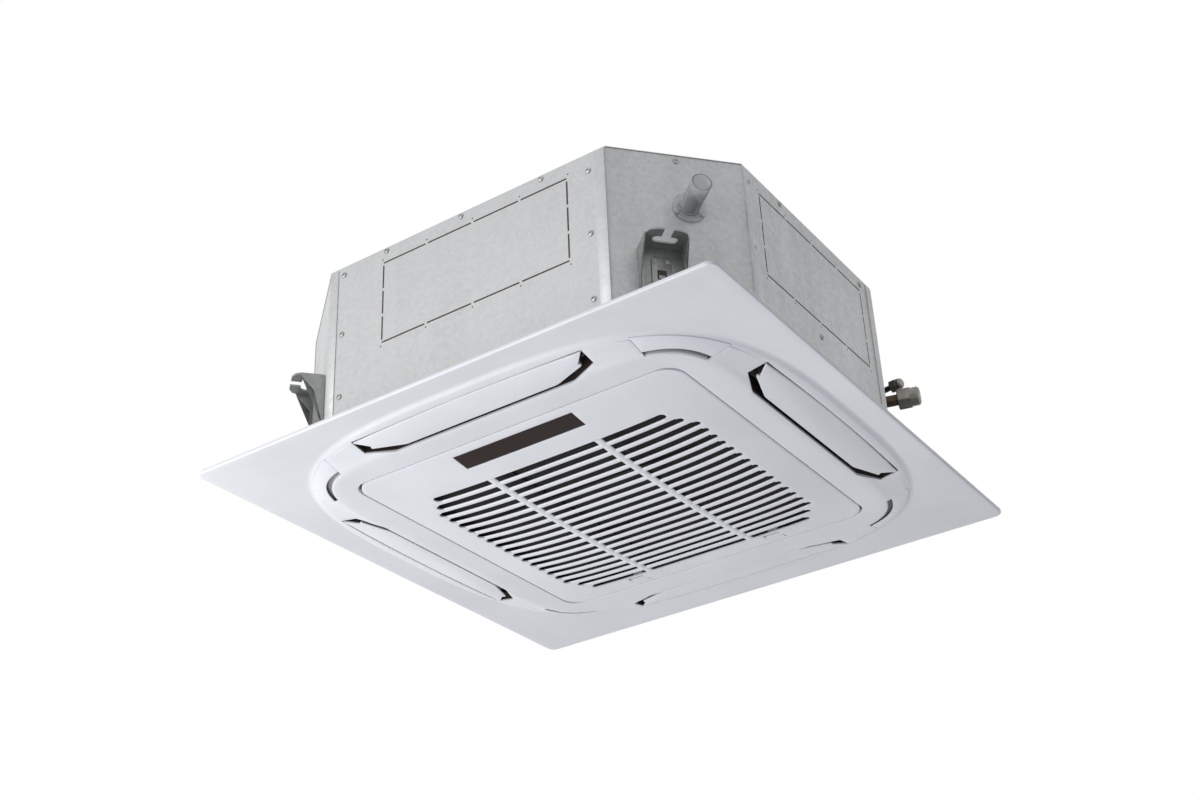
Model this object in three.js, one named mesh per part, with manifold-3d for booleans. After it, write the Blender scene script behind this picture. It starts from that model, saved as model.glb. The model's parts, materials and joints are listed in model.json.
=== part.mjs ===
// Ceiling cassette air conditioner: a square room panel with a domed intake grille, four air
// flaps and four corner covers, under a sheet-metal casing that hangs from four rods.
// Millimetres, +Z up. The origin is the middle of the unit in the ceiling plane: the panel
// hangs below it and the casing stands above it. The display side of the panel faces -Y.
import * as THREE from 'three';
import { mergeVertices } from 'three/addons/utils/BufferGeometryUtils.js';
import Module from 'manifold-3d';

const wasm = await Module();
wasm.setup();

// ---------------------------------------------------------------- driving dimensions
const seat = 0.3;                 // gap between two pieces that seat on each other

// Room panel: flange, sunk band with the outlets, plateau round the grille door
const panelHalf = 475;
const panelCorner = 15;
const panelLip = 6;               // height of the flange's outer edge
const panelSkin = 2.6;            // wall of the moulding
const rimWidth = 4;               // width of the rim that touches the ceiling
const bandOuterHalf = 427.5;
const bandOuterExponent = 3.33;   // how square the band's outer outline is
const bandOuterZ = -2.6;
const bandStep = 2;               // crease between flange and band
const bandInnerHalf = 366;
const plateauExponent = 6.9;
const bandInnerZ = -13.5;
const plateauHalf = 353;
const plateauZ = -16.2;
const doorHalf = 302;
const doorCorner = 35;
const doorGap = 2.5;
const openingCorner = 31;         // tighter than the door's, so that the door swings clear
const innerWallTop = 4;
const collarTop = 12;             // height of the duct walls behind each outlet
const collarWall = 2.4;
const sealInner = 347;            // foam ring between panel and casing
const sealBend = 90;
const screwPostPlace = 339;
const screwPostRadius = 5.5;
const screwHoleRadius = 2.6;
const screwPostTop = 14.7;

// Air outlets and flaps
const outletHalfLength = 216;
const outletOuter = 411;
const outletEnd = 372.5;
const outletInner = 352.5;
const outletInnerHalfLength = 166;
const flapHalfLength = 210;
const flapOuter = 409;
const flapOuterEnd = 402;
const flapEnd = 381.5;
const flapInner = 358.4;
const flapInnerHalfLength = 141;
const flapThickness = 4.2;
const flapAxisPlace = 385;
const flapAxisZ = 3;
const flapArm = 3;                // thickness of the arms that carry the pins
const pinRadius = 2;
const pinSlack = 0.4;
const flapMotorRadius = 7.2;
const flapMotorLength = 18;

// Corner covers with their curved outlets
const coverStartX = 283;
const coverLedge = 6;
const coverSkin = 2.4;
const coverTwist = 1.9;
const cornerSlot = 8;             // width of the curved corner outlet
const coverLength = 57;           // reach of a cover across the band

// Grille door
const domeDepth = 17.5;
const domeExponent = 3;
const doorEdgeZ = -14.2;
const doorSkin = 2.6;
const doorRimTop = -6;
const doorRimWall = 2;
const slotRows = 19;
const slotPitch = 24.7;
const slotHeight = 11.7;
const firstSlotY = -195.5;
const slotReach = 250;            // half length of the long slots
const slotReachSecond = 236;      // second and last but one
const slotReachFirst = 221;       // first and last
const slatDepth = 8;
const slatTopWidth = 6;
const barPlace = 102;
const barWidth = 13;
const windowHalf = 112;
const windowNearY = -285;
const windowFarY = -248;
const windowSkin = 2.2;
const hingeY = -294;
const hingeZ = -11.6;
const hingePinRadius = 1.2;
const hingeEyeRadius = 2.2;
const hingePlace = 190;
const knuckleWidth = 6;
const latchPlace = 138;
const latchY = 279;
const latchWidth = 30;
const latchDepth = 20;
const latchTongue = 14;
const filterHalfX = 264;
const filterNearY = -226;
const filterFarY = 263.5;
const filterZ = -6.2;
const filterThickness = 4;
const filterBorder = 10;
const netThickness = 0.6;

// Casing
const casingHalf = 420;
const casingBottom = 15;
const casingTop = 315;
const sheet = 1.2;
const frontCutX = 139;            // near corner, on the display side
const frontCutY = 160;
const pipeCutX = 120;             // corner that the refrigerant pipes leave
const pipeCutY = 255;
const leftCutX = 163;
const leftCutY = 139;
const flangeLength = 22;
const lipWidth = 15;
const skirtHeight = 15;
const slitWidth = 3;
const slitGap = 5;
const knockoutFront = [-144, 211];
const knockoutSide = [-212, 120];
const knockoutZ = [139, 287];
const freshAirRadius = 38;
const freshAirY = -60;
const freshAirZ = 215;
const dishRadius = 150;
const dishHeight = 3;

// Suspension brackets, each at its place along its corner face
const hangerLugZ = 137;
const hangerWidth = 66;
const hangerReach = 50;
const hangerSheet = 3;
const hangerBottom = 45;
const hangerFlange = 15;
const rodDistance = 26;           // rod centre to the corner face
const rodSlotLength = 38;
const rodSlotWidth = 14;

// Drain outlet
const drainAlong = 124;           // along the near corner face
const drainZ = 220;
const drainRadius = 15.5;
const drainBore = 13.3;
const drainReach = 62;
const drainFlangeRadius = 26;
const spigotRadius = 7;
const spigotBore = 5;
const spigotReach = 20;

// Refrigerant pipes
const gasAlong = 95;
const gasZ = 147;
const gasRadius = 9.5;
const gasBore = 8.3;
const gasAngle = 10;             // from straight out of the corner face
const gasNutRadius = 20;
const liquidAlong = 120;
const liquidZ = 182;
const liquidRadius = 4.8;
const liquidBore = 3.8;
const liquidAngle = 35;
const liquidNutRadius = 11.5;
const pipeInside = 55;
const gasReach = 38;
const liquidReach = 29;

// Air path inside
const linerInset = 4.6;
const linerWall = 9;
const coilHalf = 345;
const coilDepth = 44;
const coilBend = 154;
const coilBottom = 45.3;
const coilTop = 300;
const returnBends = 4;
const bendRadius = 11;
const tubeRadius = 4;
const coilEndX = 140;
const coilEndY = 150;
const panBottom = 16.5;
const panTop = 70;
const panMouth = 262;
const troughFloor = 45;
const troughSlack = 4;
const ductOuter = 403;
const bellFlange = 275;
const bellThroat = 190;
const bellTop = 70;
const bellWall = 2;
const boxHalf = 110;
const boxNearY = -288;
const boxFarY = -226;
const boxTop = 54;
const boxBottom = 12;

// Fan and motor
const wheelRadius = 240;
const wheelBottom = 66;
const wheelTop = 233;
const shroudMouth = 195;
const bladeCount = 7;
const bladeInner = 128;
const motorRadius = 62;
const motorBottom = 205;
const motorTop = 292;
const shaftRadius = 6;
const shaftBottom = 163;

// Drain pump and float
const pumpPlace = 323;
const sumpRadius = 22;
const sumpFloor = 30;
const pumpRadius = 17;
const impellerRadius = 6.5;
const rodRadius = 2;
const floatX = 362;
const floatY = -290;
const floatRadius = 11;

// ---------------------------------------------------------------- shape helpers
const turn = Math.PI / 180;
const degrees = (angle) => angle * turn;

// Signed volume tells whether a closed mesh faces out.
function signedVolume(geometry) {
  const place = geometry.attributes.position;
  const index = geometry.index;
  const [a, b, c] = [new THREE.Vector3(), new THREE.Vector3(), new THREE.Vector3()];
  let sum = 0;
  for (let i = 0; i < index.count; i += 3) {
    a.fromBufferAttribute(place, index.getX(i));
    b.fromBufferAttribute(place, index.getX(i + 1));
    c.fromBufferAttribute(place, index.getX(i + 2));
    sum += a.dot(b.cross(c)) / 6;
  }
  return sum;
}

function flip(geometry) {
  const index = Array.from(geometry.index.array);
  for (let i = 0; i < index.length; i += 3) {
    [index[i], index[i + 1]] = [index[i + 1], index[i]];
  }
  geometry.setIndex(index);
  return geometry;
}

// Merged, closed and facing out: the form in which every shape below is kept.
function solid(geometry) {
  const bare = new THREE.BufferGeometry();
  bare.setAttribute('position', geometry.attributes.position.clone());
  if (geometry.index) bare.setIndex(geometry.index.clone());
  const merged = mergeVertices(bare, 1e-4);
  return signedVolume(merged) < 0 ? flip(merged) : merged;
}

function toManifold(geometry) {
  const vertProperties = new Float32Array(geometry.attributes.position.array);
  const triVerts = new Uint32Array(geometry.index.array);
  return new wasm.Manifold(new wasm.Mesh({ numProp: 3, vertProperties, triVerts }));
}

function fromManifold(manifold) {
  const mesh = manifold.getMesh();
  const geometry = new THREE.BufferGeometry();
  geometry.setAttribute('position', new THREE.BufferAttribute(new Float32Array(mesh.vertProperties), 3));
  geometry.setIndex(Array.from(mesh.triVerts));
  return geometry;
}

function combine(action, first, rest) {
  let result = toManifold(first);
  for (const other of rest.flat()) result = result[action](toManifold(other));
  return fromManifold(result);
}

const join = (first, ...rest) => combine('add', first, rest);
const cut = (first, ...rest) => combine('subtract', first, rest);
const keep = (first, ...rest) => combine('intersect', first, rest);

const moved = (geometry, x, y, z) => geometry.clone().translate(x, y, z);

// A copy turned about +Z by whole degrees.
const turned = (geometry, angle) => geometry.clone().rotateZ(degrees(angle));

const fourWays = (geometry) => [0, 90, 180, 270].map((angle) => turned(geometry, angle));

// Box from its lowest to its highest corner.
function block(x0, x1, y0, y1, z0, z1) {
  const box = new THREE.BoxGeometry(x1 - x0, y1 - y0, z1 - z0);
  return solid(box.translate((x0 + x1) / 2, (y0 + y1) / 2, (z0 + z1) / 2));
}

// Upright prism over a plan outline of [x, y] points.
function prism(outline, z0, z1) {
  const shape = new THREE.Shape(outline.map(([x, y]) => new THREE.Vector2(x, y)));
  const body = new THREE.ExtrudeGeometry(shape, { depth: z1 - z0, bevelEnabled: false, steps: 1 });
  return solid(body.translate(0, 0, z0));
}

// Upright cylinder.
function post(x, y, radius, z0, z1, sides = 16) {
  const rod = new THREE.CylinderGeometry(radius, radius, z1 - z0, sides);
  return solid(rod.rotateX(Math.PI / 2).translate(x, y, (z0 + z1) / 2));
}

// Cylinder along X.
function rodX(x0, x1, y, z, radius, sides = 12) {
  const rod = new THREE.CylinderGeometry(radius, radius, x1 - x0, sides);
  return solid(rod.rotateZ(Math.PI / 2).translate((x0 + x1) / 2, y, z));
}

// Body of revolution about +Z from [radius, z] points.
function revolve(profile, sides) {
  const points = profile.map(([r, z]) => new THREE.Vector2(r, z));
  return solid(new THREE.LatheGeometry(points, sides).rotateX(Math.PI / 2));
}

// A revolve whose profile is a closed loop, so that it has a bore.
const ring = (profile, sides) => revolve([...profile, profile[0]], sides);

// Skin through rings of equally many points; the ends are capped unless the rings close.
function loft(rings, closed = false) {
  const count = rings[0].length;
  const places = rings.flat().flatMap((point) => [point.x, point.y, point.z]);
  const faces = [];
  const spans = closed ? rings.length : rings.length - 1;
  for (let i = 0; i < spans; i++) {
    const here = i * count;
    const next = ((i + 1) % rings.length) * count;
    for (let j = 0; j < count; j++) {
      const k = (j + 1) % count;
      faces.push(here + j, here + k, next + k, here + j, next + k, next + j);
    }
  }
  if (!closed) {
    const last = (rings.length - 1) * count;
    for (let j = 1; j < count - 1; j++) {
      faces.push(0, j + 1, j, last, last + j, last + j + 1);
    }
  }
  const geometry = new THREE.BufferGeometry();
  geometry.setAttribute('position', new THREE.Float32BufferAttribute(places, 3));
  geometry.setIndex(faces);
  return solid(geometry);
}

// Plan directions shared by all panel rings, closer together at the corners.
const octantAngles = [0, 17, 30, 38, 42.8];
const quadrantAngles = [...octantAngles, 45, ...octantAngles.slice(1).reverse().map((a) => 90 - a)];
const ringAngles = [0, 90, 180, 270].flatMap((start) => quadrantAngles.map((a) => degrees(start + a)));

// Reach of a square with rounded corners in a plan direction.
function roundedReach(angle, half, corner) {
  const [low, high] = [Math.abs(Math.cos(angle)), Math.abs(Math.sin(angle))].sort((p, q) => p - q);
  const centre = half - corner;
  if (low / high <= centre / half) return half / high;
  const along = centre * (low + high);
  return along + Math.sqrt(along * along - 2 * centre * centre + corner * corner);
}

// Reach of a squircle in a plan direction.
function squircleReach(angle, half, exponent) {
  const sum = Math.abs(Math.cos(angle)) ** exponent + Math.abs(Math.sin(angle)) ** exponent;
  return half / sum ** (1 / exponent);
}

const planPoint = (angle, reach, z) =>
  new THREE.Vector3(reach * Math.cos(angle), reach * Math.sin(angle), z);
const roundedRing = (half, corner, z) =>
  ringAngles.map((angle) => planPoint(angle, roundedReach(angle, half, corner), z));
const squircleRing = (half, exponent, z) =>
  ringAngles.map((angle) => planPoint(angle, squircleReach(angle, half, exponent), z));

// ---------------------------------------------------------------- casing outline
// Corner points of the casing in plan, counterclockwise from the display side's left end.
const casingCorners = [
  [-casingHalf + leftCutX, -casingHalf],
  [casingHalf - frontCutX, -casingHalf],
  [casingHalf, -casingHalf + frontCutY],
  [casingHalf, casingHalf - pipeCutY],
  [casingHalf - pipeCutX, casingHalf],
  [-casingHalf + frontCutX, casingHalf],
  [-casingHalf, casingHalf - frontCutY],
  [-casingHalf, -casingHalf + leftCutY],
];
const cornerCount = casingCorners.length;
const cornerAt = (i) => casingCorners[(i + cornerCount) % cornerCount];

// Frame of one casing side: start point, direction along it and direction out of it.
function side(i) {
  const [x0, y0] = cornerAt(i);
  const [x1, y1] = cornerAt(i + 1);
  const length = Math.hypot(x1 - x0, y1 - y0);
  const along = [(x1 - x0) / length, (y1 - y0) / length];
  return { start: [x0, y0], along, out: [along[1], -along[0]], length };
}

// Plan point of a side: distance along it and distance out of it.
function onSide(i, along, out) {
  const frame = side(i);
  return [
    frame.start[0] + along * frame.along[0] + out * frame.out[0],
    frame.start[1] + along * frame.along[1] + out * frame.out[1],
  ];
}

// Corner i of the outline drawn in by a distance.
function insetCorner(i, inset) {
  const before = side(i - 1);
  const after = side(i);
  const turnOf = before.along[0] * after.along[1] - before.along[1] * after.along[0];
  const cosine = before.along[0] * after.along[0] + before.along[1] * after.along[1];
  const slide = inset * ((1 - cosine) / turnOf);
  const [x, y] = cornerAt(i);
  return [
    x - inset * before.out[0] - slide * before.along[0],
    y - inset * before.out[1] - slide * before.along[1],
  ];
}

const insetOutline = (inset) => casingCorners.map((_, i) => insetCorner(i, inset));

// Places a shape modelled with X along a side, Y out of it and Z up. It is turned in double
// precision, so that its faces stay flat.
function placeOnSide(geometry, i, along, z) {
  const frame = side(i);
  const [x, y] = onSide(i, along, 0);
  const matrix = new THREE.Matrix4().makeBasis(
    new THREE.Vector3(frame.along[0], frame.along[1], 0),
    new THREE.Vector3(frame.out[0], frame.out[1], 0),
    new THREE.Vector3(0, 0, 1),
  );
  matrix.setPosition(x, y, z);
  const fine = geometry.clone();
  const places = new Float64Array(geometry.attributes.position.array);
  fine.setAttribute('position', new THREE.BufferAttribute(places, 3));
  return solid(fine.applyMatrix4(matrix));
}

// ---------------------------------------------------------------- materials
const finish = (color, roughness, metalness, extra = {}) => () =>
  new THREE.MeshStandardMaterial({ color, roughness, metalness, ...extra });
const whitePlastic = finish(0xe3e6ee, 0.38, 0);
const galvanised = finish(0xb9bcbd, 0.42, 0.75);
const bracketSteel = finish(0x7c7f80, 0.45, 0.8);
const smokyPlastic = finish(0x8f9494, 0.15, 0, { transparent: true, opacity: 0.55 });
const darkWindow = finish(0x241e1c, 0.12, 0);
const blackPlastic = finish(0x222324, 0.5, 0);
const foam = finish(0x3b3d3f, 0.9, 0);
const whiteFoam = finish(0xd9dad6, 0.85, 0);
const copper = finish(0xb06a45, 0.35, 0.9);
const nutMetal = finish(0x6d6d68, 0.4, 0.8);
const coilMetal = finish(0xaeb4b8, 0.4, 0.8);
const motorMetal = finish(0x8c9094, 0.4, 0.7);
const wheelPlastic = finish(0x3f454a, 0.5, 0);
const netCloth = finish(0x55595c, 0.8, 0);
const boardGreen = finish(0x2e5a3a, 0.6, 0);
const clearPlastic = finish(0xcfd3cf, 0.4, 0);

const unit = new THREE.Group();

function add(name, geometry, material, parent = unit) {
  const mesh = new THREE.Mesh(geometry, material());
  mesh.name = name;
  parent.add(mesh);
  return mesh;
}

// ---------------------------------------------------------------- room panel
// Height of the band's visible surface at a plan distance from the middle of a side.
const bandSlope = (bandOuterZ - bandStep + 0.6 - bandInnerZ) / (bandOuterHalf - 3 - bandInnerHalf);
const bandSurface = (place) => bandInnerZ + (place - bandInnerHalf) * bandSlope;

// Reach of the band at a place: its two outlines are blended in every direction.
function bandReach(angle, place) {
  const start = squircleReach(angle, Math.min(place, bandInnerHalf), plateauExponent);
  if (place <= bandInnerHalf) return start;
  const share = (place - bandInnerHalf) / (bandOuterHalf - bandInnerHalf);
  return start + share * (squircleReach(angle, bandOuterHalf, bandOuterExponent) - start);
}

// Stretch of the band between two places, from one height over its surface to another. The
// twist sets its corner points between those of the pieces that it cuts or joins.
function bandLayer(inner, outer, low, high, twist = coverTwist) {
  const angles = ringAngles.map((angle) => angle + degrees(twist));
  const at = (place, lift) =>
    angles.map((angle) => planPoint(angle, bandReach(angle, place), bandSurface(place) + lift));
  return loft([at(inner, low), at(outer, low), at(outer, high), at(inner, high)], true);
}

// Plan outline of an outlet on the display side, grown by a margin.
function outletOutline(grow = 0, halfLength = outletHalfLength, outer = outletOuter) {
  const slant = grow * 0.45;
  return [
    [-halfLength - grow, -outer - grow],
    [halfLength + grow, -outer - grow],
    [halfLength + grow, -outletEnd + slant],
    [outletInnerHalfLength + slant, -outletInner + grow],
    [-outletInnerHalfLength - slant, -outletInner + grow],
    [-halfLength - grow, -outletEnd + slant],
  ];
}

// Region of a corner cover in the quadrant +X, -Y.
function coverRegion(inset, z0 = -30, z1 = 30) {
  const start = coverStartX + inset;
  const far = panelHalf;
  return prism([[start, -far], [far, -far], [far, -start], [start, -start]], z0, z1);
}

const flapPinHole = (x0, x1) => rodX(x0, x1, -flapAxisPlace, flapAxisZ, pinRadius + pinSlack, 10);

function panelFrame() {
  const backOf = (z) => z + panelSkin;
  const inner = doorHalf + doorGap;
  const innerCorner = openingCorner;
  const bandEdge = bandOuterHalf - 3;
  const shell = loft([
    roundedRing(panelHalf, panelCorner, 0),
    roundedRing(panelHalf, panelCorner, -panelLip + 1.4),
    roundedRing(panelHalf - 1.4, panelCorner - 1, -panelLip),
    squircleRing(bandOuterHalf, bandOuterExponent, bandOuterZ),
    squircleRing(bandEdge, bandOuterExponent, bandOuterZ - bandStep + 0.6),
    squircleRing(bandInnerHalf, plateauExponent, bandInnerZ),
    squircleRing((bandInnerHalf + plateauHalf) / 2, plateauExponent, plateauZ + 0.7),
    squircleRing(plateauHalf, plateauExponent, plateauZ),
    roundedRing(inner, innerCorner, doorEdgeZ),
    roundedRing(inner, innerCorner, innerWallTop),
    roundedRing(inner + panelSkin, innerCorner + panelSkin, innerWallTop),
    roundedRing(inner + panelSkin, innerCorner + panelSkin, backOf(doorEdgeZ)),
    squircleRing(plateauHalf, plateauExponent, backOf(plateauZ)),
    squircleRing(bandInnerHalf - 1, plateauExponent, backOf(bandInnerZ)),
    squircleRing(bandEdge, bandOuterExponent, backOf(bandOuterZ - bandStep + 0.6)),
    squircleRing(bandOuterHalf + 1, bandOuterExponent, backOf(bandOuterZ)),
    roundedRing(panelHalf - rimWidth, panelCorner - 3, -panelLip + panelSkin),
    roundedRing(panelHalf - rimWidth, panelCorner - 3, 0),
  ], true);
  const wallEnd = outletHalfLength + collarWall;
  const collars = fourWays(prism(outletOutline(collarWall), bandInnerZ, collarTop));
  const motorRoom = fourWays(
    rodX(wallEnd, wallEnd + flapMotorLength, -flapAxisPlace, flapAxisZ, flapMotorRadius + 0.4, 16));
  const outlets = fourWays(prism(outletOutline(), -30, 30));
  const pinHoles = fourWays(flapPinHole(-wallEnd - 1, wallEnd + 1));
  const pocketBack = coverSkin + seat;
  const slotInner = bandInnerHalf - cornerSlot;
  const coverEnd = bandInnerHalf + coverLength;
  const pocketLayer = bandLayer(slotInner - 1, coverEnd + 2.5, 1.5, pocketBack + 2.4, 0.9);
  const pockets = keep(pocketLayer, coverRegion(-2.5));
  const recess = keep(bandLayer(slotInner, coverEnd, -6, pocketBack), coverRegion(0));
  const bridge = turned(block(400, 520, -7, 7, -30, 30), -45);
  const openLayer = bandLayer(slotInner + 1, coverEnd - coverLedge, -8, 9, 2.7);
  const opening = cut(keep(openLayer, coverRegion(coverLedge)), bridge);
  const screwPost = post(screwPostPlace, -screwPostPlace, screwPostRadius, bandInnerZ + 6, screwPostTop, 10);
  const screwHole = post(screwPostPlace, -screwPostPlace, screwHoleRadius, -30, 30, 8);
  const knuckles = [-1, 1].map((hand) => hingeKnuckle(hand * hingePlace));
  const frame = join(shell, collars, fourWays(pockets), fourWays(screwPost), knuckles);
  return cut(frame, outlets, fourWays(recess), fourWays(opening), motorRoom, pinHoles, fourWays(screwHole));
}

// Arm from the frame's inner wall that holds one hinge pin of the grille door.
function hingeKnuckle(x) {
  const wall = -(doorHalf + doorGap) - 0.6;
  const x0 = x - knuckleWidth / 2;
  const x1 = x + knuckleWidth / 2;
  const reach = hingeEyeRadius;
  const armFoot = hingeZ + 8.8;
  const arm = block(x0, x1, wall, hingeY + reach, armFoot, armFoot + 2.6);
  const drop = block(x0, x1, hingeY - 1.2, hingeY + reach, hingeZ, armFoot + 1);
  const eye = rodX(x0, x1, hingeY, hingeZ, reach, 12);
  return cut(join(arm, drop, eye), rodX(x0 - 1, x1 + 1, hingeY, hingeZ, hingePinRadius + 0.25, 10));
}

function cornerCover() {
  const layer = bandLayer(bandInnerHalf + seat, bandInnerHalf + coverLength - seat, 0, coverSkin);
  return keep(layer, coverRegion(seat));
}

// Flap of the display side: a blade on the band's slope, with an arm and a pin at each end.
function flap() {
  const outline = [
    [-flapHalfLength, -flapOuterEnd], [-flapHalfLength / 2, -flapOuter + 2],
    [0, -flapOuter], [flapHalfLength / 2, -flapOuter + 2], [flapHalfLength, -flapOuterEnd],
    [flapHalfLength, -flapEnd], [flapInnerHalfLength, -flapInner],
    [-flapInnerHalfLength, -flapInner], [-flapHalfLength, -flapEnd],
  ];
  const section = (x) => {
    const rim = (place, lift) => new THREE.Vector3(x, -place, bandSurface(place) + lift);
    return [
      rim(flapInner - 1, 0.6), rim(flapInner + 4, 0), rim(flapOuter - 3, 0), rim(flapOuter + 1, 0.9),
      rim(flapOuter + 1, 2.2), rim((flapOuter + flapInner) / 2, flapThickness), rim(flapInner - 1, 2.2),
    ];
  };
  const bar = loft([section(-flapHalfLength - 1), section(flapHalfLength + 1)]);
  const blade = keep(bar, prism(outline, -30, 10));
  const armTop = flapAxisZ + 3.6;
  const foot = bandSurface(flapAxisPlace) + 1.5;
  const arms = [-1, 1].map((hand) => {
    const outer = hand * flapHalfLength;
    const span = [outer - hand * flapArm, outer].sort((p, q) => p - q);
    return prismX([
      [-flapAxisPlace - 7, foot], [-flapAxisPlace + 3, foot],
      [-flapAxisPlace + 3, armTop - 2], [-flapAxisPlace + 1.5, armTop],
      [-flapAxisPlace - 1.5, armTop], [-flapAxisPlace - 3, armTop - 2],
    ], span[0], span[1]);
  });
  const pinEnd = outletHalfLength + collarWall - 0.4;
  const pins = [-1, 1].map((hand) => {
    const ends = [hand * (flapHalfLength - 1), hand * pinEnd].sort((p, q) => p - q);
    return rodX(ends[0], ends[1], -flapAxisPlace, flapAxisZ, pinRadius, 10);
  });
  return join(blade, arms, pins);
}

// Prism along X over an outline of [y, z] points.
function prismX(outline, x0, x1) {
  return loft([x0, x1].map((x) => outline.map(([y, z]) => new THREE.Vector3(x, y, z))));
}

// Stepper motor on the outside of an outlet's end wall, its axle in line with the flap's pin.
function flapMotor() {
  const face = outletHalfLength + collarWall + seat;
  const can = rodX(face, face + flapMotorLength, -flapAxisPlace, flapAxisZ, flapMotorRadius, 16);
  const earZ = flapAxisZ + 3;
  const ears = block(face, face + 1.4, -flapAxisPlace - 13, -flapAxisPlace + 13, earZ - 3.5, earZ + 3.5);
  return join(can, ears);
}

function panelSeal() {
  const z0 = collarTop + seat;
  const z1 = casingBottom - seat;
  const outer = insetOutline(3);
  const ringBody = cut(prism(outer, z0, z1), prism(roundedOutline(sealInner, sealBend), z0 - 1, z1 + 1));
  const outlets = fourWays(prism(outletOutline(0.2, outletHalfLength, ductOuter), z0 - 1, z1 + 1));
  const posts = fourWays(post(screwPostPlace, -screwPostPlace, screwPostRadius + 1, z0 - 1, z1 + 1, 10));
  return cut(ringBody, outlets, posts);
}

// ---------------------------------------------------------------- grille door
const domeAt = (x, y) => doorEdgeZ
  - domeDepth * (1 - Math.abs(x / doorHalf) ** domeExponent) * (1 - Math.abs(y / doorHalf) ** domeExponent);

function doorRing(share, lift) {
  return ringAngles.map((angle) => {
    const point = planPoint(angle, share * roundedReach(angle, doorHalf, doorCorner), 0);
    point.z = domeAt(point.x, point.y) + lift;
    return point;
  });
}

const flatDoorRing = (share, z) => doorRing(share, 0).map((point) => point.setZ(z));

const slotReachOf = (row) => {
  const fromEnd = Math.min(row, slotRows - 1 - row);
  return fromEnd === 0 ? slotReachFirst : fromEnd === 1 ? slotReachSecond : slotReach;
};
const slotY = (row) => firstSlotY + row * slotPitch;

// Outline of the slotted field: straight between the slots, round at each slot's end.
function slotFieldOutline() {
  const radius = slotHeight / 2;
  const right = [];
  for (let row = 0; row < slotRows; row++) {
    for (const angle of [-90, 0, 90]) {
      right.push([
        slotReachOf(row) - radius + radius * Math.cos(degrees(angle)),
        slotY(row) + radius * Math.sin(degrees(angle)),
      ]);
    }
  }
  return [...right, ...right.map(([x, y]) => [-x, y]).reverse()];
}

// Slat between two slots: a bullnose bar that follows the dome.
function slat(row) {
  const y = slotY(row) + slotPitch / 2;
  const half = (slotPitch - slotHeight) / 2;
  const reach = Math.max(slotReachOf(row), slotReachOf(row + 1)) - slotHeight / 2 + 3;
  const steps = 5;
  const rings = [];
  for (let i = 0; i <= steps; i++) {
    const x = -reach + (2 * reach * i) / steps;
    const z = domeAt(x, y);
    rings.push([
      [-half, 4.5], [-half * 0.5, 0.7], [half * 0.5, 0.7], [half, 4.5],
      [slatTopWidth / 2, slatDepth], [-slatTopWidth / 2, slatDepth],
    ].map(([dy, dz]) => new THREE.Vector3(x, y + dy, z + dz)));
  }
  return loft(rings);
}

function crossBar(hand) {
  const x = hand * barPlace;
  const half = barWidth / 2;
  const start = firstSlotY - slotHeight / 2 - 3;
  const end = slotY(slotRows - 1) + slotHeight / 2 + 3;
  const steps = 6;
  const rings = [];
  for (let i = 0; i <= steps; i++) {
    const y = start + ((end - start) * i) / steps;
    const z = domeAt(x, y);
    rings.push([
      [-half, 1.1], [half, 1.1], [half - 3, slatDepth - 1.5], [-half + 3, slatDepth - 1.5],
    ].map(([dx, dz]) => new THREE.Vector3(x + dx, y, z + dz)));
  }
  return loft(rings);
}

const latchTravelRoom = 7.5;
const latchWindow = (hand, grow) => block(
  hand * latchPlace - latchWidth / 2 - grow, hand * latchPlace + latchWidth / 2 + grow,
  latchY - latchDepth / 2 - grow - (grow > 0 ? latchTravelRoom : 0), latchY + latchDepth / 2 + grow, -40, 0,
);

function intakeGrille() {
  const rim = 1 - doorRimWall / doorHalf;
  const shares = [1, 0.95, 0.85, 0.7];
  const shell = loft([
    ...shares.slice().reverse().map((share) => doorRing(share, 0)),
    flatDoorRing(1, doorRimTop),
    flatDoorRing(rim, doorRimTop),
    flatDoorRing(rim, doorEdgeZ + doorSkin - 0.4),
    ...shares.slice(1).map((share) => doorRing(share, doorSkin)),
  ], true);
  const field = prism(slotFieldOutline(), -60, 20);
  const display = block(-windowHalf - seat, windowHalf + seat, windowNearY - seat, windowFarY + seat, -60, 0);
  const latchHoles = [-1, 1].map((hand) => latchWindow(hand, seat));
  const pivotRoom = [-1, 1].flatMap((hand) => {
    const x0 = hand * hingePlace - knuckleWidth / 2 - 0.6;
    const x1 = hand * hingePlace + knuckleWidth / 2 + 0.6;
    return [
      rodX(x0, x1, hingeY, hingeZ, hingeEyeRadius + 0.4, 12),
      block(x0, x1, -doorHalf - 1, hingeY + hingeEyeRadius, hingeZ - 1.5, 0),
    ];
  });
  const slats = Array.from({ length: slotRows - 1 }, (_, row) => slat(row));
  const lugs = [-1, 1].flatMap((hand) => [-1, 1].map((end) => hingeLug(hand * hingePlace, end)));
  const pins = [-1, 1].map((hand) =>
    rodX(hand * hingePlace - knuckleWidth / 2 - 2.4, hand * hingePlace + knuckleWidth / 2 + 2.4,
      hingeY, hingeZ, hingePinRadius, 10));
  const posts = [-1, 1].flatMap((hand) => [-150, 27, 204].map((y) =>
    post(hand * (filterHalfX - filterBorder / 2), y, 3, domeAt(filterHalfX, y) + 1, filterZ - seat, 8)));
  let door = cut(shell, field, display, latchHoles, pivotRoom);
  door = join(door, slats, [-1, 1].map(crossBar), lugs, posts);
  return join(door, pins, latchRails());
}

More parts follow.
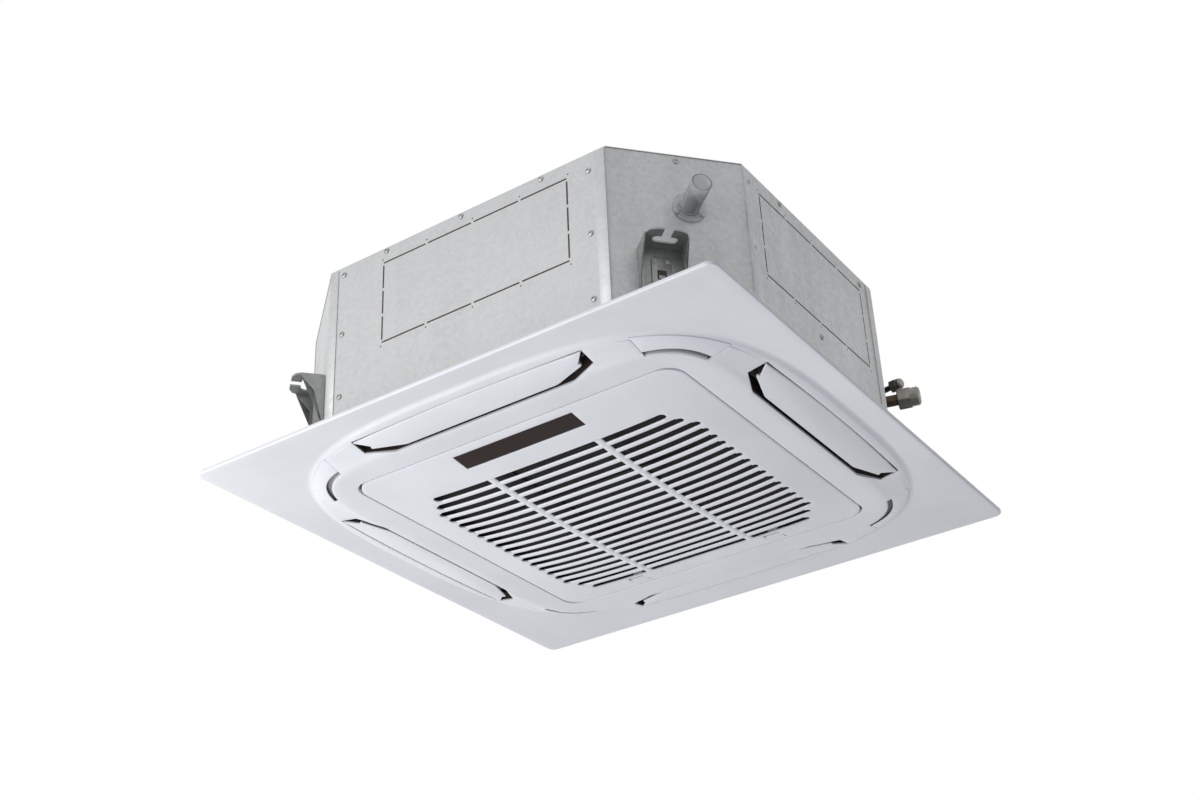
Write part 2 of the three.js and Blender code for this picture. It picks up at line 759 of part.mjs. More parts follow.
// Cheek that holds a hinge pin's end, beside a knuckle of the frame.
function hingeLug(x, end) {
  const near = x + end * (knuckleWidth / 2 + 0.6);
  const far = near + end * 2.2;
  const [x0, x1] = [near, far].sort((p, q) => p - q);
  return prismX([
    [hingeY - 2.4, hingeZ - 2.6], [hingeY + 5, hingeZ - 2.6], [hingeY + 2.2, hingeZ + 1.6],
    [hingeY + 0.8, hingeZ + 2.6], [hingeY - 1.2, hingeZ + 2.4], [hingeY - 2.6, hingeZ + 0.8],
  ], x0, x1);
}

// Rails behind the door's skin on both sides of each catch.
function latchRails() {
  const z = domeAt(latchPlace, latchY);
  return [-1, 1].flatMap((hand) => [-1, 1].map((end) => {
    const x = hand * latchPlace + end * (latchWidth / 2 + 2.2);
    return block(x - 1.2, x + 1.2, latchY - 16, latchY + 11, z + 1, z + 8);
  }));
}

function displayWindow() {
  const rings = [];
  const steps = 6;
  for (let i = 0; i <= steps; i++) {
    const x = -windowHalf + (2 * windowHalf * i) / steps;
    const middle = (windowNearY + windowFarY) / 2;
    rings.push([
      [windowNearY, 0], [middle, 0], [windowFarY, 0],
      [windowFarY, windowSkin], [middle, windowSkin], [windowNearY, windowSkin],
    ].map(([y, lift]) => new THREE.Vector3(x, y, domeAt(x, y) + lift)));
  }
  return loft(rings);
}

function displayBoard() {
  const z = doorEdgeZ + 1.5;
  const middle = (windowNearY + windowFarY) / 2;
  const board = block(-70, 70, middle - 12, middle + 12, z, z + 1.6);
  const guide = (x, radius, sides) =>
    post(x, middle, radius, domeAt(x, middle - radius) + windowSkin + seat, z + 0.5, sides);
  const eye = guide(40, 4, 10);
  const plug = block(-60, -44, middle - 5, middle + 5, z + 1, z + 8);
  const lamps = [-30, -18, -6, 6].map((x) => guide(x, 2, 6));
  return join(board, eye, plug, lamps);
}

function latch(hand) {
  const x = hand * latchPlace;
  const z = domeAt(latchPlace, latchY);
  const halfWidth = latchWidth / 2;
  const halfDepth = latchDepth / 2;
  const button = block(x - halfWidth, x + halfWidth, latchY - halfDepth, latchY + halfDepth, z, z + 3);
  const ridge = block(x - halfWidth + 4, x + halfWidth - 4, latchY - 6, latchY - 4, z - 0.8, z + 1);
  const body = block(x - 9, x + 9, latchY - 8, latchY + 8, z + 2, doorRimTop + 2);
  const tongue = block(x - latchTongue / 2, x + latchTongue / 2, latchY, doorHalf + doorGap - 0.4,
    doorRimTop + 0.4, doorRimTop + 2);
  return join(button, ridge, body, tongue);
}

function filterFrame() {
  const top = filterZ + filterThickness;
  const outer = block(-filterHalfX, filterHalfX, filterNearY, filterFarY, filterZ, top);
  const far = filterFarY;
  const columns = 3;
  const rows = 3;
  const rib = 4;
  const spanX = (2 * (filterHalfX - filterBorder) - (columns - 1) * rib) / columns;
  const spanY = (far - filterNearY - 2 * filterBorder - (rows - 1) * rib) / rows;
  const holes = [];
  for (let i = 0; i < columns; i++) {
    for (let j = 0; j < rows; j++) {
      const x = -filterHalfX + filterBorder + i * (spanX + rib);
      const y = filterNearY + filterBorder + j * (spanY + rib);
      holes.push(block(x, x + spanX, y, y + spanY, filterZ - 1, top + 1));
    }
  }
  const bed = block(-filterHalfX + filterBorder, filterHalfX - filterBorder,
    filterNearY + filterBorder, far - filterBorder, top - netThickness - 2 * seat, top + 1);
  return cut(outer, holes, bed);
}

function filterNet() {
  const top = filterZ + filterThickness;
  return block(-filterHalfX + filterBorder + seat, filterHalfX - filterBorder - seat,
    filterNearY + filterBorder + seat, filterFarY - filterBorder - seat,
    top - netThickness - seat, top - seat);
}

// ---------------------------------------------------------------- casing
// Slit pattern of a rectangular knock-out, as cutters on a side, X along it.
function knockoutSlits(x0, x1) {
  const [z0, z1] = knockoutZ;
  const cutters = [];
  const row = (start, end, count, make) => {
    const length = (end - start - (count - 1) * slitGap) / count;
    for (let i = 0; i < count; i++) {
      const from = start + i * (length + slitGap);
      cutters.push(make(from, from + length));
    }
  };
  for (const z of [z0, z1]) {
    row(x0, x1, 4, (from, to) => block(from, to, -4, 4, z - slitWidth / 2, z + slitWidth / 2));
  }
  for (const x of [x0, x1]) {
    row(z0 + slitGap, z1 - slitGap, 3, (from, to) =>
      block(x - slitWidth / 2, x + slitWidth / 2, -4, 4, from, to));
  }
  return cutters;
}

// Round knock-out: four arc slits.
function freshAirSlits(x) {
  const arcs = [];
  for (let i = 0; i < 4; i++) {
    const points = [];
    const from = 90 * i + 6;
    for (let step = 0; step <= 6; step++) points.push([freshAirRadius + slitWidth / 2, from + step * 13]);
    for (let step = 6; step >= 0; step--) points.push([freshAirRadius - slitWidth / 2, from + step * 13]);
    const outline = points.map(([r, angle]) => [r * Math.cos(degrees(angle)), r * Math.sin(degrees(angle))]);
    arcs.push(prism(outline, -4, 4).rotateX(Math.PI / 2).translate(x, 0, freshAirZ));
  }
  return arcs.map(solid);
}

function sidePlate(i, slits) {
  const top = casingTop - sheet - seat;
  const { length } = side(i);
  const wall = block(seat, length - seat, -sheet, 0, casingBottom, top);
  const lip = block(34, length - 34, -lipWidth - sheet, -sheet / 2, casingBottom, casingBottom + sheet);
  const plate = cut(join(wall, lip), slits);
  return placeOnSide(plate, i, 0, 0);
}

const nearCorner = 1;
const pipeCorner = 3;
const backCorner = 5;
const leftCorner = 7;
const screwPlaces = {
  [nearCorner]: [screwPostPlace, -screwPostPlace],
  [pipeCorner]: [screwPostPlace, screwPostPlace],
  [backCorner]: [-screwPostPlace, screwPostPlace],
  [leftCorner]: [-screwPostPlace, -screwPostPlace],
};
const tabHalf = 16;

// Corner plate: the slanting face with a flange behind each neighbouring side plate, and a tab
// at its foot that takes the panel's screw.
function cornerPlate(i) {
  const near = sheet + seat;
  const far = near + sheet;
  const path = (inset) => {
    const before = side(i - 1);
    const after = side(i + 1);
    const first = insetCorner(i, inset);
    const last = insetCorner(i + 1, inset);
    return [
      [first[0] - flangeLength * before.along[0], first[1] - flangeLength * before.along[1]],
      first, last,
      [last[0] + flangeLength * after.along[0], last[1] + flangeLength * after.along[1]],
    ];
  };
  const top = casingTop - sheet - seat;
  const plate = prism([...path(near), ...path(far).reverse()], casingBottom, top);
  const [x, y] = screwPlaces[i];
  const frame = side(i);
  const along = (x - frame.start[0]) * frame.along[0] + (y - frame.start[1]) * frame.along[1];
  const out = (x - frame.start[0]) * frame.out[0] + (y - frame.start[1]) * frame.out[1];
  const end = Math.max(out + tabHalf / 2, -near - 0.4);
  const tab = block(along - tabHalf, along + tabHalf, -34, end, casingBottom, casingBottom + sheet);
  return join(plate, placeOnSide(cut(tab, post(along, out, screwHoleRadius, 0, 30, 8)), i, 0, 0));
}

function topPlate() {
  const top = casingTop;
  const under = top - sheet;
  const roof = prism(insetOutline(seat), under, top);
  const skirt = cut(
    prism(insetOutline(sheet * 2 + 2 * seat), under - skirtHeight, under + 0.5),
    prism(insetOutline(sheet * 3 + 2 * seat), under - skirtHeight - 1, under + 1),
  );
  const dish = revolve([
    [0, under + 0.4], [dishRadius + 12, under + 0.4], [dishRadius, top + dishHeight], [0, top + dishHeight],
  ], 24);
  const hollow = revolve([
    [0, under - 1], [dishRadius + 10, under - 1], [dishRadius - 1.5, top + dishHeight - sheet],
    [0, top + dishHeight - sheet],
  ], 24);
  const bead = (x, y, halfX, halfY) =>
    block(x - halfX, x + halfX, y - halfY, y + halfY, under + 0.2, top + 2);
  const beads = fourWays(bead(290, 0, 90, 5));
  return cut(join(roof, skirt, dish, beads), hollow);
}

// ---------------------------------------------------------------- suspension bracket
// Modelled with X along the corner face, Y out of it; the rod stands at the origin of X.
function hangerShape() {
  const half = hangerWidth / 2;
  const foot = seat - sheet - seat;
  const base = foot + 0.1;
  const web = block(-half + 1, half - 1, base, base + 2, hangerBottom + 0.5, hangerLugZ + 1);
  const flanges = [-1, 1].map((hand) => {
    const [x0, x1] = [hand * half, hand * (half - 2)].sort((p, q) => p - q);
    return prismX([
      [base + 0.4, hangerBottom], [hangerFlange, hangerBottom], [hangerFlange, hangerLugZ - 28],
      [hangerReach - 12, hangerLugZ - 0.6], [hangerReach - 12, hangerLugZ + 2], [base + 0.4, hangerLugZ + 2],
    ], x0, x1);
  });
  const lugHalf = half - 0.5;
  const lug = prism([
    [-lugHalf, base + 0.8], [lugHalf, base + 0.8], [lugHalf, hangerReach - 14],
    [lugHalf - 4, hangerReach - 5],
    [lugHalf - 14, hangerReach], [-lugHalf + 14, hangerReach], [-lugHalf + 4, hangerReach - 5],
    [-lugHalf, hangerReach - 14],
  ], hangerLugZ, hangerLugZ + hangerSheet);
  const slotHalf = rodSlotLength / 2;
  const r = rodSlotWidth / 2;
  const slot = prism([
    [-slotHalf, rodDistance], [-slotHalf + 2, rodDistance - 5], [-slotHalf + r, rodDistance - r],
    [slotHalf - r, rodDistance - r], [slotHalf - 2, rodDistance - 5], [slotHalf, rodDistance],
    [slotHalf - 2, rodDistance + 5], [slotHalf - r, rodDistance + r],
    [r, rodDistance + r], [r, hangerReach + 2], [-r, hangerReach + 2], [-r, rodDistance + r],
    [-slotHalf + r, rodDistance + r], [-slotHalf + 2, rodDistance + 5],
  ], hangerLugZ - 1, hangerLugZ + hangerSheet + 1);
  const eyeZ = hangerLugZ - 42;
  const window = block(-11, 11, base - 1, base + 4, eyeZ - 7, eyeZ + 7);
  return cut(join(web, flanges, lug), slot, window);
}

// Distance along each corner face at which its rod stands: near, pipe, back and left corner.
const hangerPlaces = { near: 74, pipe: 226, back: 74, left: 154 };

// ---------------------------------------------------------------- drain outlet
// A revolve about +Z turned so that its axis leaves a casing side.
function outOfSide(geometry, i, along, z, angle = 0) {
  const body = geometry.clone().rotateX(-Math.PI / 2).rotateZ(degrees(angle));
  return placeOnSide(solid(body), i, along, z);
}

const faceSink = sheet + seat;    // the corner plates lie this deep behind the outline

function drainSocket() {
  const face = -faceSink + seat;
  const profile = [
    [spigotBore, -spigotReach], [spigotRadius, -spigotReach], [spigotRadius, face],
    [drainFlangeRadius, face], [drainFlangeRadius, face + 2], [drainRadius + 1, face + 2.6],
    [drainRadius, face + 4], [drainRadius, drainReach], [drainBore, drainReach],
    [drainBore, face + 3.2], [spigotBore, face + 3.2],
  ];
  return outOfSide(ring(profile, 20), nearCorner, drainAlong, drainZ);
}

// ---------------------------------------------------------------- refrigerant pipes
// Stub that leaves the casing along Y, bored from its open end, on an upright header inside.
function pipeShape(radius, bore, reach, header, headerLow, headerHigh) {
  const outward = (geometry) => solid(geometry.rotateX(-Math.PI / 2));
  const stub = outward(post(0, 0, radius, -pipeInside, reach, 12));
  const column = post(0, -pipeInside, header, headerLow, headerHigh, 12);
  return cut(join(stub, column), outward(post(0, 0, bore, -pipeInside, reach + 1, 12)));
}

// Hexagon nut over a pipe's end, with a blind cap that keeps the pipe shut.
function flareNut(pipeRadius, nutRadius, reach) {
  const length = nutRadius * 1.05;
  const start = reach - length * 0.6;
  const shoulder = reach + length * 0.4;
  const hexagon = revolve([
    [0, start], [nutRadius - 1.5, start], [nutRadius, start + 1.5], [nutRadius, shoulder], [0, shoulder],
  ], 6);
  const capRadius = nutRadius * 0.8;
  const end = reach + length * 1.15;
  const cap = revolve([
    [0, reach], [capRadius, reach], [capRadius, end - 3], [capRadius * 0.8, end], [0, end],
  ], 14);
  return cut(join(hexagon, cap), post(0, 0, pipeRadius + 0.5, start - 1, reach + seat, 12));
}

function pipeSeal() {
  const face = -faceSink + seat;
  const plate = block(gasAlong - 32, liquidAlong + 26, face, face + 2.4, gasZ - 32, liquidZ + 24);
  const bore = (along, z, radius, angle) =>
    solid(post(0, 0, radius, -40, 40, 14)
      .rotateX(-Math.PI / 2).rotateZ(degrees(angle)).translate(along, 0, z));
  const holes = [
    bore(gasAlong, gasZ, gasRadius + 0.8, gasAngle),
    bore(liquidAlong, liquidZ, liquidRadius + 0.8, liquidAngle),
  ];
  return placeOnSide(cut(plate, holes), pipeCorner, 0, 0);
}

// ---------------------------------------------------------------- air path inside
function insulationLiner() {
  const z0 = panTop + seat;
  const z1 = casingTop - sheet - seat;
  const body = prism(insetOutline(linerInset), z0, z1);
  const hollow = prism(insetOutline(linerInset + linerWall), z0 - 1, z1 - linerWall);
  const motorHole = post(0, 0, 110, z0, z1 + 1, 28);
  const drainRoom = block(drainAlong - 12, drainAlong + 12, -40, 0, drainZ - 12, drainZ + 12);
  const drainHole = placeOnSide(drainRoom, nearCorner, 0, 0);
  const pipeHole = placeOnSide(
    block(gasAlong - 30, liquidAlong + 24, -40, 0, gasZ - 30, liquidZ + 22), pipeCorner, 0, 0);
  return cut(body, hollow, motorHole, drainHole, pipeHole);
}

// Corner points of a rounded square path round the coil, from one end to the other.
function coilPath(inset) {
  const half = coilHalf - inset;
  const radius = coilBend - inset;
  const points = [[half, coilEndX]];
  const bends = [[1, -1, 0], [-1, -1, -90], [-1, 1, -180]];
  for (const [sx, sy, start] of bends) {
    for (let step = 0; step <= 6; step++) {
      const angle = degrees(start - step * 15);
      const centre = half - radius;
      points.push([sx * centre + radius * Math.cos(angle), sy * centre + radius * Math.sin(angle)]);
    }
  }
  points.push([coilEndY, half]);
  return points;
}

const heatExchanger = () => prism([...coilPath(0), ...coilPath(coilDepth).reverse()], coilBottom, coilTop);

// End plate of the coil with its return bends, modelled on the end that faces +Y.
function coilEndPlate() {
  const inner = coilHalf - coilDepth;
  const plate = block(inner - 3, coilHalf + 3, 0, 1.5, coilBottom, coilTop);
  const bends = [];
  for (let i = 0; i < returnBends; i++) {
    const z = coilBottom + 30 + (i * (coilTop - coilBottom - 60)) / (returnBends - 1);
    bends.push(returnBend().translate(inner + coilDepth / 2 + (i % 2 ? 9 : -9), 1.2, z));
  }
  return join(plate, bends);
}

// Half ring of tube that bows towards +Y.
function returnBend() {
  const rings = [0, 45, 90, 135, 180].map((angle) => {
    const [rise, lift] = [Math.sin(degrees(angle)), Math.cos(degrees(angle))];
    return [0, 60, 120, 180, 240, 300].map((around) => {
      const reach = bendRadius + tubeRadius * Math.cos(degrees(around));
      return new THREE.Vector3(tubeRadius * Math.sin(degrees(around)), reach * rise, reach * lift);
    });
  });
  return loft(rings);
}

const pumpX = pumpPlace;
const pumpY = -pumpPlace;

// Rounded square outline in plan.
function roundedOutline(half, radius, steps = 6) {
  const points = [];
  for (const [sx, sy, start] of [[1, 1, 0], [-1, 1, 90], [-1, -1, 180], [1, -1, 270]]) {
    for (let step = 0; step <= steps; step++) {
      const angle = degrees(start + (90 * step) / steps);
      points.push([
        sx * (half - radius) + radius * Math.cos(angle), sy * (half - radius) + radius * Math.sin(angle),
      ]);
    }
  }
  return points;
}

function drainPan() {
  const body = prism(insetOutline(linerInset), panBottom, panTop);
  const mouth = post(0, 0, panMouth, panBottom - 1, panTop + 1, 24);
  const inside = prism(insetOutline(linerInset + linerWall), panBottom - 1, panTop + 1);
  const ducts = fourWays(prism(outletOutline(0, outletHalfLength - 2, ductOuter), panBottom - 1, panTop + 1))
    .map((duct) => keep(duct, inside));
  const trough = cut(
    prism(roundedOutline(coilHalf + troughSlack, coilBend + troughSlack), troughFloor, panTop + 1),
    prism(roundedOutline(coilHalf - coilDepth - troughSlack, coilBend - coilDepth - troughSlack),
      troughFloor - 1, panTop + 2),
  );
  const sump = post(pumpX, pumpY, sumpRadius, sumpFloor, panTop + 1, 20);
  const well = post(floatX, floatY, floatRadius + 4, sumpFloor, panTop + 1, 14);
  const channel = prism([
    [pumpX, pumpY - 6], [floatX, floatY - 6], [floatX, floatY + 6], [pumpX, pumpY + 6],
  ], sumpFloor, panTop + 1);
  const boxRoom = block(-boxHalf - 2, boxHalf + 2, boxNearY - 2, 0, panBottom - 1, boxTop + seat);
  return cut(body, mouth, ducts, trough, sump, well, channel, boxRoom);
}

function bellMouth() {
  const z = panBottom - seat;
  const profile = [
    [bellFlange, z], [bellFlange, z - bellWall], [bellThroat + 26, z - bellWall],
    [bellThroat + 7, z + 8], [bellThroat - bellWall, z + 30], [bellThroat - bellWall, bellTop],
    [bellThroat, bellTop], [bellThroat, z + 30], [bellThroat + 9, z + 9], [bellThroat + 27, z],
  ];
  const trim = block(-boxHalf - 3, boxHalf + 3, -bellFlange - 5, boxFarY + 3, 0, 100);
  return cut(ring(profile, 24), trim);
}

function controlBox() {
  const outer = block(-boxHalf, boxHalf, boxNearY, boxFarY, boxBottom, boxTop);
  const inner = block(-boxHalf + sheet, boxHalf - sheet, boxNearY + sheet, boxFarY - sheet,
    boxBottom - 1, boxTop - sheet);
  return cut(outer, inner);
}

function controlCover() {
  const plate = block(-boxHalf, boxHalf, boxNearY, boxFarY, boxBottom - seat - sheet, boxBottom - seat);
  const tray = cut(
    block(-boxHalf + sheet + seat, boxHalf - sheet - seat, boxNearY + sheet + seat, boxFarY - sheet - seat,
      boxBottom - seat - 0.5, boxBottom + 8),
    block(-boxHalf + 2 * sheet + seat, boxHalf - 2 * sheet - seat, boxNearY + 2 * sheet + seat,
      boxFarY - 2 * sheet - seat, boxBottom - seat, boxBottom + 9),
  );
  return join(plate, tray);
}

function controlBoard() {
  const high = boxTop - sheet - 6;
  const board = block(-boxHalf + 8, boxHalf - 8, boxNearY + 6, boxFarY - 6, high - 1.6, high);
  const spacers = [[-96, boxNearY + 12], [96, boxNearY + 12], [-96, boxFarY - 12], [96, boxFarY - 12]]
    .map(([x, y]) => post(x, y, 3, high - 1, boxTop - sheet - seat, 8));
  const middle = (boxNearY + boxFarY) / 2;
  const capacitors = [-70, -48].map((x) => post(x, middle, 8, high - 20, high - 1, 10));
  const relay = block(-20, 6, middle - 9, middle + 9, high - 15, high - 1);
  const terminals = block(40, 90, middle - 16, middle - 2, high - 12, high - 1);
  return join(board, spacers, capacitors, relay, terminals);
}

// ---------------------------------------------------------------- fan
function fanMotor() {
  const mid = (motorBottom + motorTop) / 2;
  const can = ring([
    [shaftRadius + 0.6, motorBottom], [24, motorBottom], [28, motorBottom + 6],
    [motorRadius, motorBottom + 14],
    [motorRadius, mid + 10], [motorRadius + 14, mid + 10], [motorRadius + 14, mid + 14],
    [motorRadius, mid + 14], [motorRadius, motorTop - 12], [motorRadius - 16, motorTop],
    [shaftRadius + 0.6, motorTop],
  ], 18);
  const top = casingTop + dishHeight - sheet - seat;
  const posts = [30, 150, 270].map((angle) => {
    const reach = motorRadius + 8;
    return post(reach * Math.cos(degrees(angle)), reach * Math.sin(degrees(angle)), 6, mid + 12, top, 10);
  });
  return join(can, posts);
}

const motorShaft = () => post(0, 0, shaftRadius, shaftBottom, motorTop - 4, 14);

function fanWheel() {
  const hubBottom = 177;
  const bore = shaftRadius + seat;
  const back = ring([
    [bore, hubBottom], [18, hubBottom], [50, hubBottom + 7], [76, hubBottom + 26],
    [86, wheelTop - 5], [104, wheelTop - 3], [wheelRadius, wheelTop - 3], [wheelRadius, wheelTop],
    [102, wheelTop], [82, wheelTop - 2], [72, hubBottom + 29], [48, hubBottom + 11],
    [18, hubBottom + 20], [bore, hubBottom + 20],
  ], 24);
  const shroud = ring([
    [shroudMouth, wheelBottom], [shroudMouth + 2.4, wheelBottom], [shroudMouth + 4, wheelBottom + 14],
    [shroudMouth + 20, wheelBottom + 27], [wheelRadius, wheelBottom + 34], [wheelRadius, wheelBottom + 36.4],
    [shroudMouth + 19, wheelBottom + 29.6], [shroudMouth + 2, wheelBottom + 16],
  ], 24);
  const reach = wheelRadius - 1;
  const blade = prism(bladeOutline(reach), wheelBottom + 12, wheelTop - 2);
  const room = revolve([
    [0, wheelBottom - 10], [reach + 6, wheelBottom - 10], [reach + 6, wheelBottom + 35],
    [shroudMouth + 20, wheelBottom + 28.3], [shroudMouth + 3, wheelBottom + 15],
    [shroudMouth + 1, wheelBottom + 8], [0, wheelBottom + 8],
  ], 24);
  const trimmed = cut(blade, room);
  const blades = Array.from({ length: bladeCount }, (_, i) => turned(trimmed, (360 * i) / bladeCount));
  return join(back, shroud, blades);
}

// Backward-curved blade in plan: an arc of even thickness with a rounded nose.
function bladeOutline(reach) {
  const outer = [];
  const inner = [];
  const steps = 4;
  for (let i = 0; i <= steps; i++) {
    const share = i / steps;
    const radius = bladeInner + (reach - bladeInner) * share;
    const angle = degrees(-38 * share - 8 * share * (1 - share));
    const half = 3.2 * Math.sin(Math.PI * (0.25 + 0.7 * share)) + 0.6;
    const slip = half / radius;
    outer.push([radius * Math.cos(angle + slip), radius * Math.sin(angle + slip)]);
    inner.push([radius * Math.cos(angle - slip), radius * Math.sin(angle - slip)]);
  }
  return [...outer, ...inner.reverse()];
}

function fanNut() {
  return ring([
    [shaftRadius + seat, 166], [13, 166], [14, 167.5], [14, 174], [18, 174], [18, 176.7],
    [shaftRadius + seat, 176.7],
  ], 12);
}

// ---------------------------------------------------------------- drain pump and float
function drainPump() {
  const plateZ = panTop + seat;
  const body = ring([
    [impellerRadius + 1.6, sumpFloor + 4], [impellerRadius + 3.4, sumpFloor + 4],
    [impellerRadius + 3.4, plateZ - 6], [pumpRadius, plateZ - 2], [pumpRadius, 150],
    [spigotRadius, 153], [spigotRadius, 168], [spigotBore, 168], [spigotBore, 154],
    [rodRadius + seat, 150], [rodRadius + seat, 140], [impellerRadius + 1.6, 134],
  ], 14);
  const plate = keep(
    cut(post(pumpX, pumpY, sumpRadius + 2, plateZ, plateZ + 2.4, 16),
      post(pumpX, pumpY, pumpRadius - 3, 0, 200, 16)),
    prism(insetOutline(linerInset + linerWall + 0.4), 0, 300),
  );
  const grown = cut(plate, block(0, coilHalf + 0.6, -200, 0, 0, 200));
  return cut(join(moved(body, pumpX, pumpY, 0), grown), coilRoom());
}

// Room that the coil takes, grown a little, for pieces that stand beside it.
const coilRoom = () => prism(roundedOutline(coilHalf + 0.6, coilBend + 0.6), 0, coilTop + 5);

function pumpImpeller() {
  const low = sumpFloor + 5;
  const rod = post(0, 0, rodRadius, low, 146, 8);
  const vanes = [0, 90].map((angle) =>
    turned(block(-impellerRadius, impellerRadius, -0.9, 0.9, low, low + 10), angle));
  return moved(join(rod, vanes), pumpX, pumpY, 0);
}

function floatGuide() {
  const low = sumpFloor + 1;
  const deck = block(-14, 18, -14, 14, panTop + seat, panTop + seat + 2.4);
  const guide = moved(join(revolve([
    [0, low], [5, low], [5, low + 2], [2.4, low + 2], [2.4, panTop + 2], [0, panTop + 2],
  ], 12), deck), floatX, floatY, 0);
  const inside = prism(insetOutline(linerInset + linerWall + 0.4), 0, 300);
  return keep(cut(guide, coilRoom()), inside);
}

const waterFloat = () => moved(ring([
  [3, sumpFloor + 3.3], [floatRadius - 1, sumpFloor + 3.3], [floatRadius, sumpFloor + 5],
  [floatRadius, sumpFloor + 16], [floatRadius - 1, sumpFloor + 18], [3, sumpFloor + 18],
], 12), floatX, floatY, 0);

// Hose from the pump's top to the spigot of the drain socket.
function drainHose() {
  const [x1, y1] = onSide(nearCorner, drainAlong, -spigotReach - seat);
  const [x0, y0] = onSide(nearCorner, drainAlong, -spigotReach - 14);
  const curve = new THREE.CatmullRomCurve3([
    new THREE.Vector3(pumpX, pumpY, 168 + seat), new THREE.Vector3(pumpX, pumpY, 182),
    new THREE.Vector3(pumpX, pumpY + 4, 200),
    new THREE.Vector3(x0, y0, drainZ), new THREE.Vector3(x1, y1, drainZ),
  ]);
  const section = new THREE.Shape();
  section.absarc(0, 0, spigotRadius + 0.6, 0, Math.PI * 2);
  return solid(new THREE.ExtrudeGeometry(section, {
    steps: 12, curveSegments: 4, extrudePath: curve, bevelEnabled: false,
  }));
}

// ---------------------------------------------------------------- assembly
const sideNames = ['front', 'right', 'back', 'left'];
const wayAngles = [0, 90, 180, 270];

add('panel_frame', panelFrame(), whitePlastic);
const flapShape = flap();
const motorShape = flapMotor();
const coverShape = cornerCover();
wayAngles.forEach((angle, i) => {
  add(`flap_${sideNames[i]}`, turned(flapShape, angle), whitePlastic);
  add(`flap_motor_${sideNames[i]}`, turned(motorShape, angle), blackPlastic);
  add(`corner_cover_${i + 1}`, turned(coverShape, angle), whitePlastic);
});
add('panel_seal', panelSeal(), foam);

add('intake_grille', intakeGrille(), whitePlastic);
add('display_window', displayWindow(), darkWindow);
add('display_board', displayBoard(), boardGreen);
add('latch_left', latch(-1), whitePlastic);
add('latch_right', latch(1), whitePlastic);
add('filter_frame', filterFrame(), blackPlastic);
add('filter_net', filterNet(), netCloth);

add('top_plate', topPlate(), galvanised);
add('side_plate_front', sidePlate(0, knockoutSlits(
  knockoutFront[0] - cornerAt(0)[0], knockoutFront[1] - cornerAt(0)[0])), galvanised);
add('side_plate_right', sidePlate(2, knockoutSlits(
  knockoutSide[0] - cornerAt(2)[1], knockoutSide[1] - cornerAt(2)[1])), galvanised);
add('side_plate_back', sidePlate(4, knockoutSlits(
  cornerAt(4)[0] - knockoutFront[1], cornerAt(4)[0] - knockoutFront[0])), galvanised);
add('side_plate_left', sidePlate(6, freshAirSlits(cornerAt(6)[1] - freshAirY)), galvanised);

const drainPassage = outOfSide(post(0, 0, spigotRadius + 1, -30, 10, 14), nearCorner, drainAlong, drainZ);
const pipePassage = placeOnSide(
  block(gasAlong - 26, liquidAlong + 20, -10, 10, gasZ - 26, liquidZ + 18), pipeCorner, 0, 0);
add('corner_plate_near', cut(cornerPlate(nearCorner), drainPassage), galvanised);
add('corner_plate_pipe', cut(cornerPlate(pipeCorner), pipePassage), galvanised);
add('corner_plate_back', cornerPlate(backCorner), galvanised);
add('corner_plate_left', cornerPlate(leftCorner), galvanised);

const hanger = hangerShape();
add('hanger_near', placeOnSide(hanger, nearCorner, hangerPlaces.near, 0), bracketSteel);
add('hanger_pipe', placeOnSide(hanger, pipeCorner, hangerPlaces.pipe, 0), bracketSteel);
add('hanger_back', placeOnSide(hanger, backCorner, hangerPlaces.back, 0), bracketSteel);
add('hanger_left', placeOnSide(hanger, leftCorner, hangerPlaces.left, 0), bracketSteel);

add('drain_socket', drainSocket(), smokyPlastic);

const placePipe = (geometry, along, z, angle) =>
  placeOnSide(solid(geometry.clone().rotateZ(degrees(angle))), pipeCorner, along, z);
const gasShape = pipeShape(gasRadius, gasBore, gasReach, 11, -70, 120);
const liquidShape = pipeShape(liquidRadius, liquidBore, liquidReach, 6, -60, 60);
add('gas_pipe', placePipe(gasShape, gasAlong, gasZ, gasAngle), copper);
add('liquid_pipe', placePipe(liquidShape, liquidAlong, liquidZ, liquidAngle), copper);
const nutOf = (radius, nutRadius, reach) => solid(flareNut(radius, nutRadius, reach).rotateX(-Math.PI / 2));
add('gas_nut', placePipe(nutOf(gasRadius, gasNutRadius, gasReach), gasAlong, gasZ, gasAngle), nutMetal);
const liquidNut = nutOf(liquidRadius, liquidNutRadius, liquidReach);
add('liquid_nut', placePipe(liquidNut, liquidAlong, liquidZ, liquidAngle),
  nutMetal);
add('pipe_seal', pipeSeal(), blackPlastic);

add('insulation_liner', insulationLiner(), whiteFoam);
add('heat_exchanger', heatExchanger(), coilMetal);
add('coil_end_right', moved(coilEndPlate(), 0, coilEndX + seat, 0), coilMetal);
add('coil_end_back', solid(coilEndPlate().applyMatrix4(
  new THREE.Matrix4().set(0, 1, 0, coilEndY + seat, 1, 0, 0, 0, 0, 0, 1, 0, 0, 0, 0, 1))), coilMetal);
add('drain_pan', drainPan(), whiteFoam);
add('bell_mouth', bellMouth(), blackPlastic);
add('control_box', controlBox(), galvanised);
add('control_cover', controlCover(), galvanised);
add('control_board', controlBoard(), boardGreen);
add('fan_motor', fanMotor(), motorMetal);
add('motor_shaft', motorShaft(), motorMetal);
add('fan_wheel', fanWheel(), wheelPlastic);
add('fan_nut', fanNut(), nutMetal);
add('drain_pump', drainPump(), clearPlastic);
add('pump_impeller', pumpImpeller(), clearPlastic);
add('float_guide', floatGuide(), clearPlastic);
add('water_float', waterFloat(), clearPlastic);
add('drain_hose', drainHose(), clearPlastic);

export default unit;
